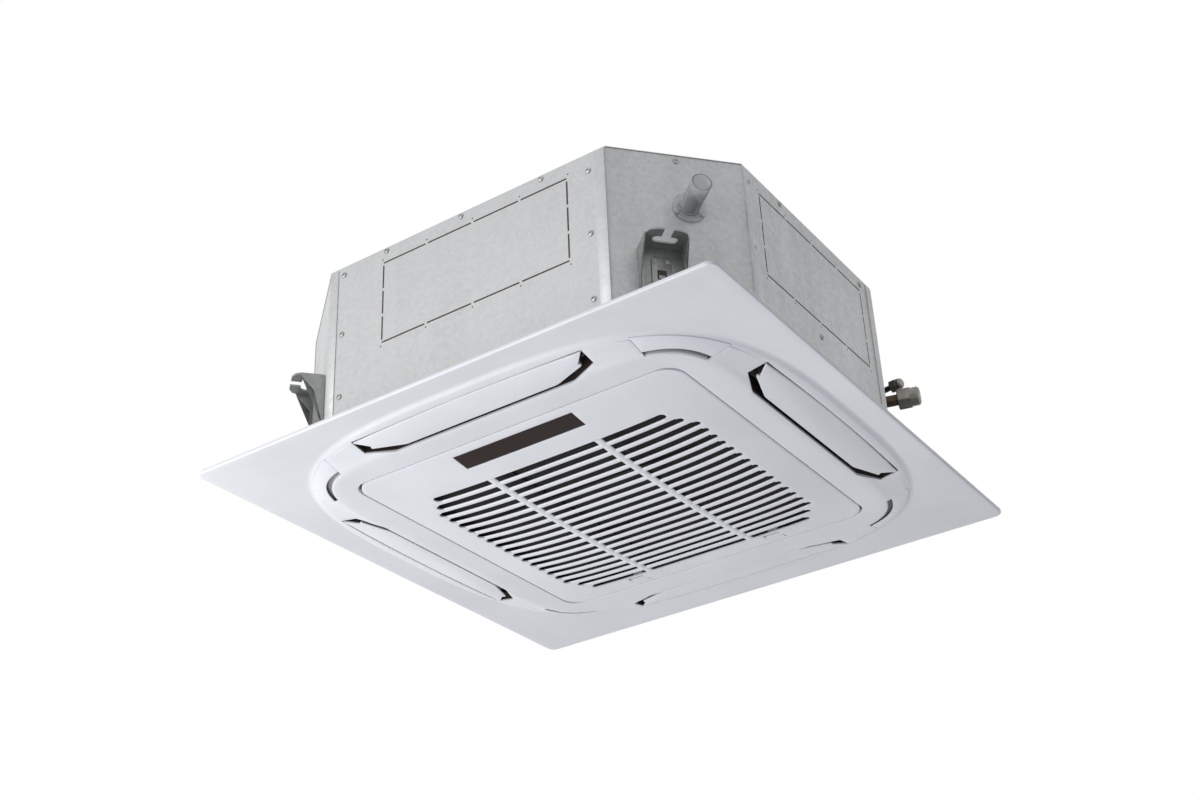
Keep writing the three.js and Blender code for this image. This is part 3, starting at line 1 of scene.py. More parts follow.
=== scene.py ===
"""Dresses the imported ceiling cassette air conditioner: fine room panel, grille door, flaps and
covers, galvanised casing with its strips and screws, and the studio around them.
Lengths are millimetres until a mesh is made, which is in metres."""
import json
import math

import bmesh
import bpy
from mathutils import Matrix, Vector


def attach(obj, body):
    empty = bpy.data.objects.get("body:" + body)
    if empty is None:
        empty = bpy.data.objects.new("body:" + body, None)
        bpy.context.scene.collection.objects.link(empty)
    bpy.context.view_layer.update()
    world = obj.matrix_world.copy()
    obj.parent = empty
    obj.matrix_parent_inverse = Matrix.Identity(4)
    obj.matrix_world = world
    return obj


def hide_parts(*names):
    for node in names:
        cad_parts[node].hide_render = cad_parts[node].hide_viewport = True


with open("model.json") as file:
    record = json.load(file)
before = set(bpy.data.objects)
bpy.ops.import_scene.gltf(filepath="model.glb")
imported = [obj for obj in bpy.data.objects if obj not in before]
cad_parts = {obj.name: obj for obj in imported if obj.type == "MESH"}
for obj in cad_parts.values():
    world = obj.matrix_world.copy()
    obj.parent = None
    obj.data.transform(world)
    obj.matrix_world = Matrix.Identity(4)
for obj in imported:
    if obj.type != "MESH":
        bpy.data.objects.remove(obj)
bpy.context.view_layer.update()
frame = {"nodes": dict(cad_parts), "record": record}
MM = 0.001

# ---- camera
CAMERA_PLACE = (1346.83, -2086.14, -1268.33)
CAMERA_TURN = 33.302        # degrees from +Y towards -X
CAMERA_RISE = 30.202
CAMERA_ROLL = -2.645
CAMERA_LENS = 51.11
SENSOR = 36.0


def set_camera():
    """The camera that was solved from the photograph."""
    turn, rise, roll = (math.radians(v) for v in (CAMERA_TURN, CAMERA_RISE, CAMERA_ROLL))
    forward = Vector((-math.sin(turn) * math.cos(rise), math.cos(turn) * math.cos(rise), math.sin(rise)))
    level = Vector((math.cos(turn), math.sin(turn), 0))
    upright = level.cross(forward)
    right = level * math.cos(roll) + upright * math.sin(roll)
    up = right.cross(forward)
    data = bpy.data.cameras.new("camera")
    data.lens = CAMERA_LENS
    data.sensor_width = SENSOR
    camera = bpy.data.objects.new("camera", data)
    bpy.context.scene.collection.objects.link(camera)
    basis = Matrix((right, up, -forward)).transposed().to_4x4()
    camera.matrix_world = Matrix.Translation(Vector(CAMERA_PLACE) * MM) @ basis
    bpy.context.scene.camera = camera


set_camera()

# ---- sizes
# The main ones are the part's own; rounds, steps and thin details are the scene's.
SEAT = 0.3
PANEL_HALF = 475
PANEL_CORNER = 15
PANEL_LIP = 6
RIM_ROUND, RIM_STEPS = 2.2, 4                  # radius along the flange's lower edge
RIM_FOOT = (4, 3)           # the back of the rim: this far in, with a corner this much tighter
PANEL_SKIN = 2.6
BAND_OUTER, BAND_OUTER_POWER = 427.5, 3.33
SHOULDER_OUTER, SHOULDER_OUTER_Z = 432.5, -1.2
SHOULDER_INNER, SHOULDER_INNER_Z = 420.5, -5.9
BAND_INNER, PLATEAU_POWER = 366, 6.9
FLANGE_SHARES = (0.15, 0.4, 0.7, 0.88, 0.96)   # rings from the rim to the shoulder
SHOULDER_SHARES = (0, 0.1, 0.22, 0.36, 0.5, 0.64, 0.78, 0.9, 1.0)
BAND_PLACES = (416, 410, 403, 395, 385, 375, 369.5)
BAND_INNER_Z = -13.5
PLATEAU_HALF = 353
PLATEAU_Z = -16.2
PLATEAU_ROLL = ((364.2, -14.1), (361, -15.0), (357, -15.8))     # rounding between band and plateau
PLATEAU_SHARES = (0.3, 0.6, 0.9, 0.97)         # rings from there to the opening
OPENING_TOP = 4
OPENING_EDGE = ((0.25, 0.1), (0, 0.9))         # its rounded lower edge: how far out and up
BAND_BACK = 410             # last place of the band on the panel's back
OUTLET_CUT, COVER_CUT, REGION_CUT = (-30, 30), (-8, 9), (-40, 40)      # heights of the cutters
DOOR_HALF, DOOR_CORNER, DOOR_GAP = 302, 35, 2.5
OPENING_CORNER = 31         # tighter than the door's, so that the door swings clear
DOOR_EDGE_Z = -14.2
DOME_DEPTH, DOME_POWER = 16.6, 3
DOOR_SKIN, DOOR_RIM, DOOR_RIM_TOP = 2.6, 2, -6
DOOR_EDGE = ((0.25, 0.25), (0, 1.0))           # its rounded lower edge: how far in and up
DOOR_RIM_FOOT = 2.4         # where the rim meets the skin, above the edge
DOOR_SHARES = (1 - 0.9 / DOOR_HALF, 0.985, 0.965, 0.94, 0.91, 0.88, 0.84, 0.8, 0.75, 0.68, 0.6)
COLLAR_TOP = 12
COLLAR_WALL = 2.4
MOUTH_LIP = 1.4             # height of the white wall inside each outlet
MOUTH_FOOT, DUCT_GAP = 1.6, 0.1                # the wall's foot above the band, its gap to the outlet
OUTLET_HALF, OUTLET_OUTER, OUTLET_OUTER_END = 214, 411, 405.5
OUTLET_END, OUTLET_INNER, OUTLET_INNER_HALF = 372.5, 352.5, 166
OUTLET_ROUNDS = (2, 3, 24)  # corner radii: ends of the outer edge, ends' inner corners, inner edge
OUTLET_SLANT = 0.45         # the slanted ends take this share of an offset
BOW_STEPS = 24              # steps along the bowed edge of an outlet or a flap
FLAP_HALF, FLAP_OUTER, FLAP_OUTER_END = 212, 409, 402.5
FLAP_END, FLAP_INNER, FLAP_INNER_HALF = 381.5, 358.4, 141
FLAP_ROUNDS = (3, 30)       # corner radii: ends, inner edge
FLAP_LEVELS = [             # inset and height of each ring through a flap's blade
    (1.9, 0.0), (0.9, 0.25), (0.25, 0.9), (0.0, 1.8), (0.0, 3.0), (0.5, 3.8), (1.6, 4.2),
]
FLAP_ARM_INSET = 13          # the flap's arms stand this far inside its ends
FLAP_AXIS = (385, 3)
FLAP_ARM, FLAP_BOSS, FLAP_PIN = 3, 3.6, 2      # arm's thickness, its eye's radius, the pin's radius
FLAP_ARM_FOOT, FLAP_ARM_RISE = (-7, 3), 2      # its foot: from and to beside the axis, above the band
EYE_STEP = 20               # degrees
COVER_START = 283
COVER_SKIN = 2.4
COVER_LENGTH = 57
COVER_GAP, COVER_INNER_GAP = 0.5, 0.2          # gaps round a cover: outside and at its ends, inside
TRAY_RISE, TRAY_SKIN = 2.2, 1.8                # the tray behind a cover: gap above it, thickness
TRAY_START, TRAY_MARGIN = 1.4, 2.5             # where it starts in the slot, reach past the cover
CORNER_SLOT = 8
SLOT_WALL = (-1.4, 1.2)     # the wall on the slot's inner edge, from and to
SLOT_WALL_Z = (0.2, 9)
SLOT_ROWS, SLOT_PITCH, SLOT_HEIGHT, FIRST_SLOT = 19, 24.7, 11.7, -195.5
SLOT_REACH = (221, 236, 250)
SLAT_DEPTH, SLAT_SIDES = 4.6, 20
SLAT_FULLNESS = 0.82        # a slat is this share of the land between two slots
SLAT_ROOT = 2.5             # a slat ends this far past the centres of its slots' round ends
FIRST_SLOT_EXTRA = 2.5      # the slot next to the window is this much wider
BAR_PLACE, BAR_WIDTH = 102, 13
BAR_FACE = [                # share of the half width, height above the dome
    (-1, 2.6), (-0.92, 1.2), (-0.7, 0.3), (0, -0.05), (0.7, 0.3), (0.92, 1.2), (1, 2.6),
]
BAR_TAPER, BAR_EXTRA, BAR_ROOT = 3, 0.6, 3     # its back: narrower, deeper; its ends' reach
WINDOW_HALF, WINDOW_NEAR, WINDOW_FAR, WINDOW_SKIN = 112, -285, -248, 2.2
WINDOW_SINK = 0.35
WINDOW_EDGE = ((0.0, WINDOW_SKIN), (0.0, 0.5), (0.35, 0.1), (0.9, 0.0))    # inset and height
WINDOW_FACES = (48, 8)      # along and across
LATCH_PLACE, LATCH_Y, LATCH_WIDTH, LATCH_DEPTH = 138, 279, 30, 20
LATCH_TRAVEL_ROOM = 7.5
CUT_DEPTH = 60              # the door's cutters reach down to this depth
CASING_BOTTOM, CASING_TOP, SHEET = 15, 315, 1.2
CASING_KNOCKOUT, SIDE_KNOCKOUT = (-144, 211), (-212, 120)
CASING_CORNERS = [          # plan; side 0 starts at the first, the corner faces are the odd sides
    (-257, -420), (281, -420), (420, -260), (420, 165),
    (300, 420), (-281, 420), (-420, 260), (-420, -281),
]
NEAR, PIPE, BACK, LEFT = 1, 3, 5, 7
FACE_SINK = SHEET + SEAT
HANGER_SHEET = 3
HANGER_PANEL_HALF, HANGER_PANEL_Z = 15, (50, 124)
HANGER_SCREW_PLACE, HANGER_SCREW_Z = 10, 116
HANGER_WINDOW_HALF, HANGER_WINDOW_Z = 7, (84, 100)
HANGER_TAB_HALF, HANGER_TAB_Z = 5, (85, 91)
HANGER_PLACES = [(NEAR, 74), (PIPE, 226), (BACK, 74), (LEFT, 154)]
DRAIN_ALONG, DRAIN_Z, DRAIN_REACH = 124, 220, 62
DRAIN_RADIUS, DRAIN_BORE, DRAIN_FLANGE = 15.5, 13.3, 26
DRAIN_SCREW_CIRCLE = 21
END_STRIP_RISE, FOOT_STRIP_RISE = 1.3, 0.6
STRIP_SET_IN, FIRST_STRIP_END, LAST_STRIP_START = 1.2, 18, 20      # from the side's nearer end
END_STRIP_Z = (CASING_BOTTOM + 3, CASING_TOP - 4)
FOOT_STRIP_Z = (CASING_BOTTOM + 1, CASING_BOTTOM + 16)
# The dark behind the knock-out slits is painted shade; the next two lines size and place it
SLIT_WIDTH, SLIT_GAP, SLIT_MARGIN = 3, 5, 0.2  # the dark is wider by the margin all round
SLIT_SHADE_DEPTH = (-1.0, -0.3)    # how deep the dark lies behind the plate's face
PIN_HOLE, PIN_PLACE = 1.3, 7                   # radius, distance from the slits
KNOCKOUT_Z = (139, 287)
KNOCKOUTS = {                 # side: the slits' start and end along it
    0: (CASING_KNOCKOUT[0] - CASING_CORNERS[0][0], CASING_KNOCKOUT[1] - CASING_CORNERS[0][0]),
    2: (SIDE_KNOCKOUT[0] - CASING_CORNERS[2][1], SIDE_KNOCKOUT[1] - CASING_CORNERS[2][1]),
    4: (CASING_CORNERS[4][0] - CASING_KNOCKOUT[1], CASING_CORNERS[4][0] - CASING_KNOCKOUT[0]),
}
SIDES = ("front", "right", "back", "left")
FLOOR_HALF, FLOOR_Z, FLOOR_DEPTH = 6000, -2600, 20

# ---- materials

def new_material(name):
    """Material with its nodes, its links and its shader."""
    material = bpy.data.materials.new(name)
    material.use_nodes = True
    tree = material.node_tree
    return material, tree.nodes, tree.links, tree.nodes["Principled BSDF"]


def noise(nodes, links, scale, detail=3.0, stretch=None):
    """Noise on object coordinates, in turns per metre."""
    place = nodes.new("ShaderNodeTexCoord")
    texture = nodes.new("ShaderNodeTexNoise")
    texture.inputs["Scale"].default_value = scale
    texture.inputs["Detail"].default_value = detail
    source = place.outputs["Object"]
    if stretch:
        mapping = nodes.new("ShaderNodeMapping")
        mapping.inputs["Scale"].default_value = stretch
        links.new(source, mapping.inputs["Vector"])
        source = mapping.outputs["Vector"]
    links.new(source, texture.inputs["Vector"])
    return texture.outputs["Fac"]


def ramp(nodes, links, source, stops):
    """Colours along a value, from (place, colour) stops."""
    node = nodes.new("ShaderNodeValToRGB")
    for element, (place, color) in zip(node.color_ramp.elements, (stops[0], stops[-1])):
        element.position = place
        element.color = (*color, 1)
    for place, color in stops[1:-1]:
        node.color_ramp.elements.new(place).color = (*color, 1)
    links.new(source, node.inputs["Fac"])
    return node.outputs["Color"]


def grey(value, tint=(1, 1, 1)):
    """A tint scaled by a value."""
    return tuple(value * t for t in tint)


def bump(nodes, links, source, shader, strength, distance):
    """Roughens a shader by a height value."""
    node = nodes.new("ShaderNodeBump")
    node.inputs["Strength"].default_value = strength
    node.inputs["Distance"].default_value = distance
    links.new(source, node.inputs["Height"])
    links.new(node.outputs["Normal"], shader.inputs["Normal"])


def moulded(name, color, roughness=0.38, variation=0.03, grain=1800, depth=0.00004):
    """Moulded plastic: faint colour drift, a fine grain and slightly uneven gloss."""
    material, nodes, links, shader = new_material(name)
    drift = noise(nodes, links, 6)
    low = grey(1 - variation, color)
    high = grey(1 + variation, color)
    links.new(ramp(nodes, links, drift, [(0.35, low), (0.65, high)]), shader.inputs["Base Color"])
    gloss = ramp(nodes, links, noise(nodes, links, 40),
                 [(0.3, grey(roughness - 0.05)), (0.7, grey(roughness + 0.05))])
    links.new(gloss, shader.inputs["Roughness"])
    bump(nodes, links, noise(nodes, links, grain, 1.0), shader, 0.12, depth)
    return material


def galvanised(name, color, roughness, metallic, spangle=0.06):
    """Zinc-coated sheet: spangles, long faint streaks from rolling and dull patches."""
    material, nodes, links, shader = new_material(name)
    place = nodes.new("ShaderNodeTexCoord")
    crystals = nodes.new("ShaderNodeTexVoronoi")
    crystals.inputs["Scale"].default_value = 160
    links.new(place.outputs["Object"], crystals.inputs["Vector"])
    shades = nodes.new("ShaderNodeSeparateColor")
    links.new(crystals.outputs["Color"], shades.inputs["Color"])
    streaks = noise(nodes, links, 30, 4, (1, 1, 0.06))
    clouds = noise(nodes, links, 5, 4)
    first = nodes.new("ShaderNodeMix")
    first.inputs["Factor"].default_value = 0.5
    links.new(streaks, first.inputs["A"])
    links.new(clouds, first.inputs["B"])
    second = nodes.new("ShaderNodeMix")
    second.inputs["Factor"].default_value = 0.22
    links.new(first.outputs["Result"], second.inputs["A"])
    links.new(shades.outputs["Red"], second.inputs["B"])
    tone = second.outputs["Result"]
    low, high = grey(1 - spangle * 2, color), grey(1 + spangle, color)
    links.new(ramp(nodes, links, tone, [(0.3, low), (0.7, high)]), shader.inputs["Base Color"])
    gloss = ramp(nodes, links, tone, [(0.3, grey(roughness + 0.1)), (0.7, grey(roughness - 0.06))])
    links.new(gloss, shader.inputs["Roughness"])
    shader.inputs["Metallic"].default_value = metallic
    bump(nodes, links, streaks, shader, 0.15, 0.0002)
    return material


def foam(name, color):
    """Open foam: mottled, rough and pitted."""
    material, nodes, links, shader = new_material(name)
    links.new(ramp(nodes, links, noise(nodes, links, 500, 2), [(0.3, grey(0.8, color)), (0.7, color)]),
              shader.inputs["Base Color"])
    shader.inputs["Roughness"].default_value = 0.9
    bump(nodes, links, noise(nodes, links, 700, 2), shader, 0.5, 0.0006)
    return material


def metal(name, color, roughness=0.35):
    """Bare metal with uneven tarnish and gloss."""
    material, nodes, links, shader = new_material(name)
    tone = ramp(nodes, links, noise(nodes, links, 60, 4),
                [(0.3, grey(0.75, color)), (0.7, grey(1.05, color))])
    links.new(tone, shader.inputs["Base Color"])
    gloss = ramp(nodes, links, noise(nodes, links, 90, 3),
                 [(0.3, grey(roughness)), (0.7, grey(roughness + 0.15))])
    links.new(gloss, shader.inputs["Roughness"])
    shader.inputs["Metallic"].default_value = 0.9
    return material


def clear(name, color, roughness):
    """Clear moulded plastic with a faint tone."""
    material, nodes, links, shader = new_material(name)
    links.new(ramp(nodes, links, noise(nodes, links, 30), [(0.3, grey(0.94, color)), (0.7, color)]),
              shader.inputs["Base Color"])
    shader.inputs["Roughness"].default_value = roughness
    shader.inputs["Transmission Weight"].default_value = 0.85
    shader.inputs["IOR"].default_value = 1.49
    return material


WHITE = moulded("white_plastic", (0.745, 0.755, 0.785), 0.36)
COVER_WHITE = moulded("white_plastic_covers", (0.765, 0.775, 0.81), 0.30)
STRIP_METAL = galvanised("galvanised_strip", (0.56, 0.565, 0.565), 0.45, 0.45)
SHEET_METAL = galvanised("galvanised_sheet", (0.53, 0.535, 0.535), 0.42, 0.5)
BRACKET = galvanised("bracket_steel", (0.33, 0.335, 0.33), 0.36, 0.6, 0.1)
SMOKE = clear("smoky_plastic", (0.93, 0.95, 0.95), 0.02)
WINDOW = moulded("dark_window", (0.022, 0.010, 0.006), 0.12, 0.2, 300, 0.00001)
BLACK = moulded("black_plastic", (0.02, 0.018, 0.018), 0.5)
SEAL = foam("dark_foam", (0.04, 0.042, 0.045))
EPS = foam("white_foam", (0.55, 0.55, 0.53))
COPPER = metal("copper", (0.16, 0.115, 0.085), 0.45)
NUT = metal("nut_metal", (0.30, 0.29, 0.26), 0.4)
FINS = metal("coil_fins", (0.5, 0.52, 0.54))
MOTOR = metal("motor_metal", (0.32, 0.34, 0.36))
WHEEL = moulded("wheel_plastic", (0.03, 0.032, 0.035), 0.5)
NET = moulded("net_cloth", (0.016, 0.014, 0.013), 0.8)
BOARD = moulded("circuit_board", (0.03, 0.12, 0.05), 0.5)
CLEAR = moulded("clear_plastic", (0.6, 0.62, 0.6), 0.35)
SCREW = metal("screw_zinc", (0.42, 0.42, 0.42), 0.3)
# Painted shade: near-black for duct walls, flap arms, slits, pin holes and bracket windows that lie in
# shadow
PAINTED_DARK_SHADE = moulded("painted_dark_shade", (0.034, 0.024, 0.019), 0.6)
SHADE = moulded("shaded_gap", (0.22, 0.205, 0.20), 0.6)
SLOT_MATERIALS = {
    "white_plastic": WHITE, "galvanised_sheet": SHEET_METAL, "bracket_steel": BRACKET,
    "smoky_plastic": SMOKE, "dark_window": WINDOW, "black_plastic": BLACK, "dark_foam": SEAL,
    "white_foam": EPS, "copper": COPPER, "nut_metal": NUT, "coil_fins": FINS, "motor_metal": MOTOR,
    "wheel_plastic": WHEEL, "net_cloth": NET, "circuit_board": BOARD, "clear_plastic": CLEAR,
}


def dress_nodes():
    """Every node of the part takes the material of its slot."""
    for entry in frame["record"]["subparts"]:
        node = frame["nodes"][entry["node"]]
        node.data.materials.clear()
        node.data.materials.append(SLOT_MATERIALS[entry["material_slot"]])


dress_nodes()


# ---- mesh tools
SHARP_ANGLE = math.radians(30)                 # steeper edges are shaded sharp
ROUND_ANGLE = 40            # degrees; steeper edges are rounded


def put(name, mesh, material, body="casing"):
    """Links a mesh as a piece on a body, smooth but for its sharp edges."""
    mesh.materials.clear()
    mesh.materials.append(material)
    piece = bpy.data.objects.new(name, mesh)
    bpy.context.scene.collection.objects.link(piece)
    mesh.shade_smooth()
    mesh.set_sharp_from_angle(angle=SHARP_ANGLE)
    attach(piece, body)
    return piece


def mesh_of(name, points, faces):
    """Mesh from points in millimetres."""
    mesh = bpy.data.meshes.new(name)
    mesh.from_pydata([Vector(p) * MM for p in points], [], faces)
    mesh.update()
    return mesh


def lofted(rings, closed=False, capped=True):
    """Points and faces of a skin through rings of equally many points."""
    count = len(rings[0])
    points = [p for ring in rings for p in ring]
    faces = []
    spans = len(rings) if closed else len(rings) - 1
    for i in range(spans):
        here, there = i * count, ((i + 1) % len(rings)) * count
        for j in range(count):
            k = (j + 1) % count
            faces.append((here + j, here + k, there + k, there + j))
    if not closed and capped:
        faces.append(tuple(range(count - 1, -1, -1)))
        faces.append(tuple(range(len(points) - count, len(points))))
    return points, faces


def face_out(mesh):
    """Turns the faces of closed shells outwards."""
    work = bmesh.new()
    work.from_mesh(mesh)
    bmesh.ops.recalc_face_normals(work, faces=work.faces)
    work.to_mesh(mesh)
    work.free()
    return mesh


def loft_mesh(name, rings, closed=False):
    return face_out(mesh_of(name, *lofted(rings, closed)))


def prism_mesh(name, outline, z0, z1):
    """Upright prism over a plan outline."""
    return loft_mesh(name, [[(x, y, z) for x, y in outline] for z in (z0, z1)])


def box_mesh(name, low, high):
    """Box from its lowest to its highest corner."""
    (x0, y0, z0), (x1, y1, z1) = low, high
    return prism_mesh(name, [(x0, y0), (x1, y0), (x1, y1), (x0, y1)], z0, z1)


def joined(name, meshes):
    """One mesh of several, which stay separate shells."""
    work = bmesh.new()
    for mesh in meshes:
        work.from_mesh(mesh)
    result = bpy.data.meshes.new(name)
    work.to_mesh(result)
    work.free()
    return result


def turned(mesh, degrees):
    """Copy of a mesh, turned about the unit's axis."""
    copy = mesh.copy()
    copy.transform(Matrix.Rotation(math.radians(degrees), 4, "Z"))
    return copy


def combined(mesh, other, operation):
    """Boolean of two closed meshes."""
    base = bpy.data.objects.new("base", mesh)
    tool = bpy.data.objects.new("tool", other)
    for thing in (base, tool):
        bpy.context.scene.collection.objects.link(thing)
    modifier = base.modifiers.new("cut", "BOOLEAN")
    modifier.operation = operation
    modifier.object = tool
    modifier.solver = "EXACT"
    bpy.context.view_layer.update()
    evaluated = base.evaluated_get(bpy.context.evaluated_depsgraph_get())
    result = bpy.data.meshes.new_from_object(evaluated)
    bpy.data.objects.remove(base)
    bpy.data.objects.remove(tool)
    return result


def bevelled(mesh, width, segments=2, angle=ROUND_ANGLE):
    """Rounds every edge that is sharper than the angle."""
    work = bmesh.new()
    work.from_mesh(mesh)
    bmesh.ops.remove_doubles(work, verts=work.verts, dist=0.002 * MM)
    limit = math.radians(angle)
    edges = [e for e in work.edges if len(e.link_faces) == 2 and e.calc_face_angle(0) > limit]
    bmesh.ops.bevel(work, geom=edges, offset=width * MM, segments=segments, profile=0.5, affect="EDGES",
                    clamp_overlap=True)
    work.to_mesh(mesh)
    work.free()
    return mesh


def rounded_outline(points, radii, steps=5):
    """Plan outline with each corner rounded to its radius."""
    result = []
    count = len(points)
    for i, corner in enumerate(points):
        radius = radii[i] if isinstance(radii, (list, tuple)) else radii
        here = Vector(corner)
        before = (Vector(points[i - 1]) - here).normalized()
        after = (Vector(points[(i + 1) % count]) - here).normalized()
        opening = before.angle(after)
        if radius <= 0 or opening > math.radians(176):
            result.append(tuple(here))
            continue
        reach = radius / math.tan(opening / 2)
        start, end = here + before * reach, here + after * reach
        centre = here + (before + after).normalized() * (radius / math.sin(opening / 2))
        first, last = start - centre, end - centre
        sweep = first.angle_signed(last)
        for step in range(steps + 1):
            share = step / steps
            angle = -sweep * share
            cosine, sine = math.cos(angle), math.sin(angle)
            x = first.x * cosine - first.y * sine
            y = first.x * sine + first.y * cosine
            result.append((centre.x + x, centre.y + y))
    return result


def revolved(name, profile, sides=48):
    """Body of revolution about Z from a closed loop of (radius, z)."""
    rings = []
    for i in range(sides):
        angle = 2 * math.pi * i / sides
        rings.append([(r * math.cos(angle), r * math.sin(angle), z) for r, z in profile])
    return loft_mesh(name, rings, closed=True)


# ---- plan curves of the panel
def plan_angles():
    """Plan directions, closer together where the rims turn their corners."""
    half = [2.0 * i for i in range(19)] + [37.4, 38.6, 39.6, 40.4, 41.1, 41.7, 42.2, 42.7, 43.1, 43.4]
    half += [43.7, 43.9, 44.08, 44.25, 44.42, 44.6, 44.8]
    octant = half + [45.0] + [90 - angle for angle in reversed(half[1:])]
    return [math.radians(90 * quadrant + angle) for quadrant in range(4) for angle in octant]


ANGLES = plan_angles()


def rounded_reach(angle, half, corner):
    """Distance to a square with round corners, in a plan direction."""
    low, high = sorted((abs(math.cos(angle)), abs(math.sin(angle))))
    centre = half - corner
    if low / high <= centre / half:
        return half / high
    along = centre * (low + high)
    return along + math.sqrt(max(along * along - 2 * centre * centre + corner * corner, 0))


def squircle_reach(angle, half, power):
    """Distance to a superellipse, in a plan direction."""
    return half / (abs(math.cos(angle)) ** power + abs(math.sin(angle)) ** power) ** (1 / power)


def ring_at(reach, z):
    """Ring of plan points; z is a height or a function of the point."""
    ring = []
    for angle in ANGLES:
        r = reach(angle)
        x, y = r * math.cos(angle), r * math.sin(angle)
        ring.append((x, y, z(x, y) if callable(z) else z))
    return ring


def rounded(half, corner, z):
    return ring_at(lambda angle: rounded_reach(angle, half, corner), z)


def squircle(half, power, z):
    return ring_at(lambda angle: squircle_reach(angle, half, power), z)


def blended(first, second, share, z):
    """Ring part of the way between two reach functions."""
    return ring_at(lambda a: first(a) + share * (second(a) - first(a)), z)


BAND_SLOPE = (SHOULDER_INNER_Z - BAND_INNER_Z) / (SHOULDER_INNER - BAND_INNER)


def band_z(place):
    """Height of the sunk band, which slopes straight from plateau to shoulder."""
    return BAND_INNER_Z + (place - BAND_INNER) * BAND_SLOPE


def band_reach(angle, place):
    """Distance to the curve through the band at a place on an axis."""
    start = squircle_reach(angle, min(place, BAND_INNER), PLATEAU_POWER)
    if place <= BAND_INNER:
        return start
    share = (place - BAND_INNER) / (BAND_OUTER - BAND_INNER)
    return start + share * (squircle_reach(angle, BAND_OUTER, BAND_OUTER_POWER) - start)


def band_ring(place, lift=0.0):
    return ring_at(lambda angle: band_reach(angle, place), band_z(place) + lift)


def dome(x, y):
    """Height of the grille door's face."""
    across = 1 - abs(x / DOOR_HALF) ** DOME_POWER
    along = 1 - abs(y / DOOR_HALF) ** DOME_POWER
    return DOOR_EDGE_Z - DOME_DEPTH * across * along


# ---- room panel
def bowed_edge(half, end, bow):
    """Outer edge on the side -Y, from -X to +X; its middle lies further out by the bow."""
    edge = []
    for i in range(BOW_STEPS + 1):
        x = -half + 2 * half * i / BOW_STEPS
        edge.append((x, -(end + bow * (1 - (x / half) ** 2))))
    return edge


def outlet_outline(grow=0.0):
    """Outlet of the side -Y; its outer edge bows outwards as the flap's does."""
    slant = grow * OUTLET_SLANT
    corners = [
        (OUTLET_HALF + grow, -OUTLET_END + slant), (OUTLET_INNER_HALF + slant, -OUTLET_INNER + grow),
        (-OUTLET_INNER_HALF - slant, -OUTLET_INNER + grow), (-OUTLET_HALF - grow, -OUTLET_END + slant),
    ]
    outer = bowed_edge(OUTLET_HALF + grow, OUTLET_OUTER_END + grow, OUTLET_OUTER - OUTLET_OUTER_END)
    tip, end, inner = OUTLET_ROUNDS
    radii = [tip] + [0] * (BOW_STEPS - 1) + [tip, end, inner, inner, end]
    return rounded_outline(outer + corners, radii)


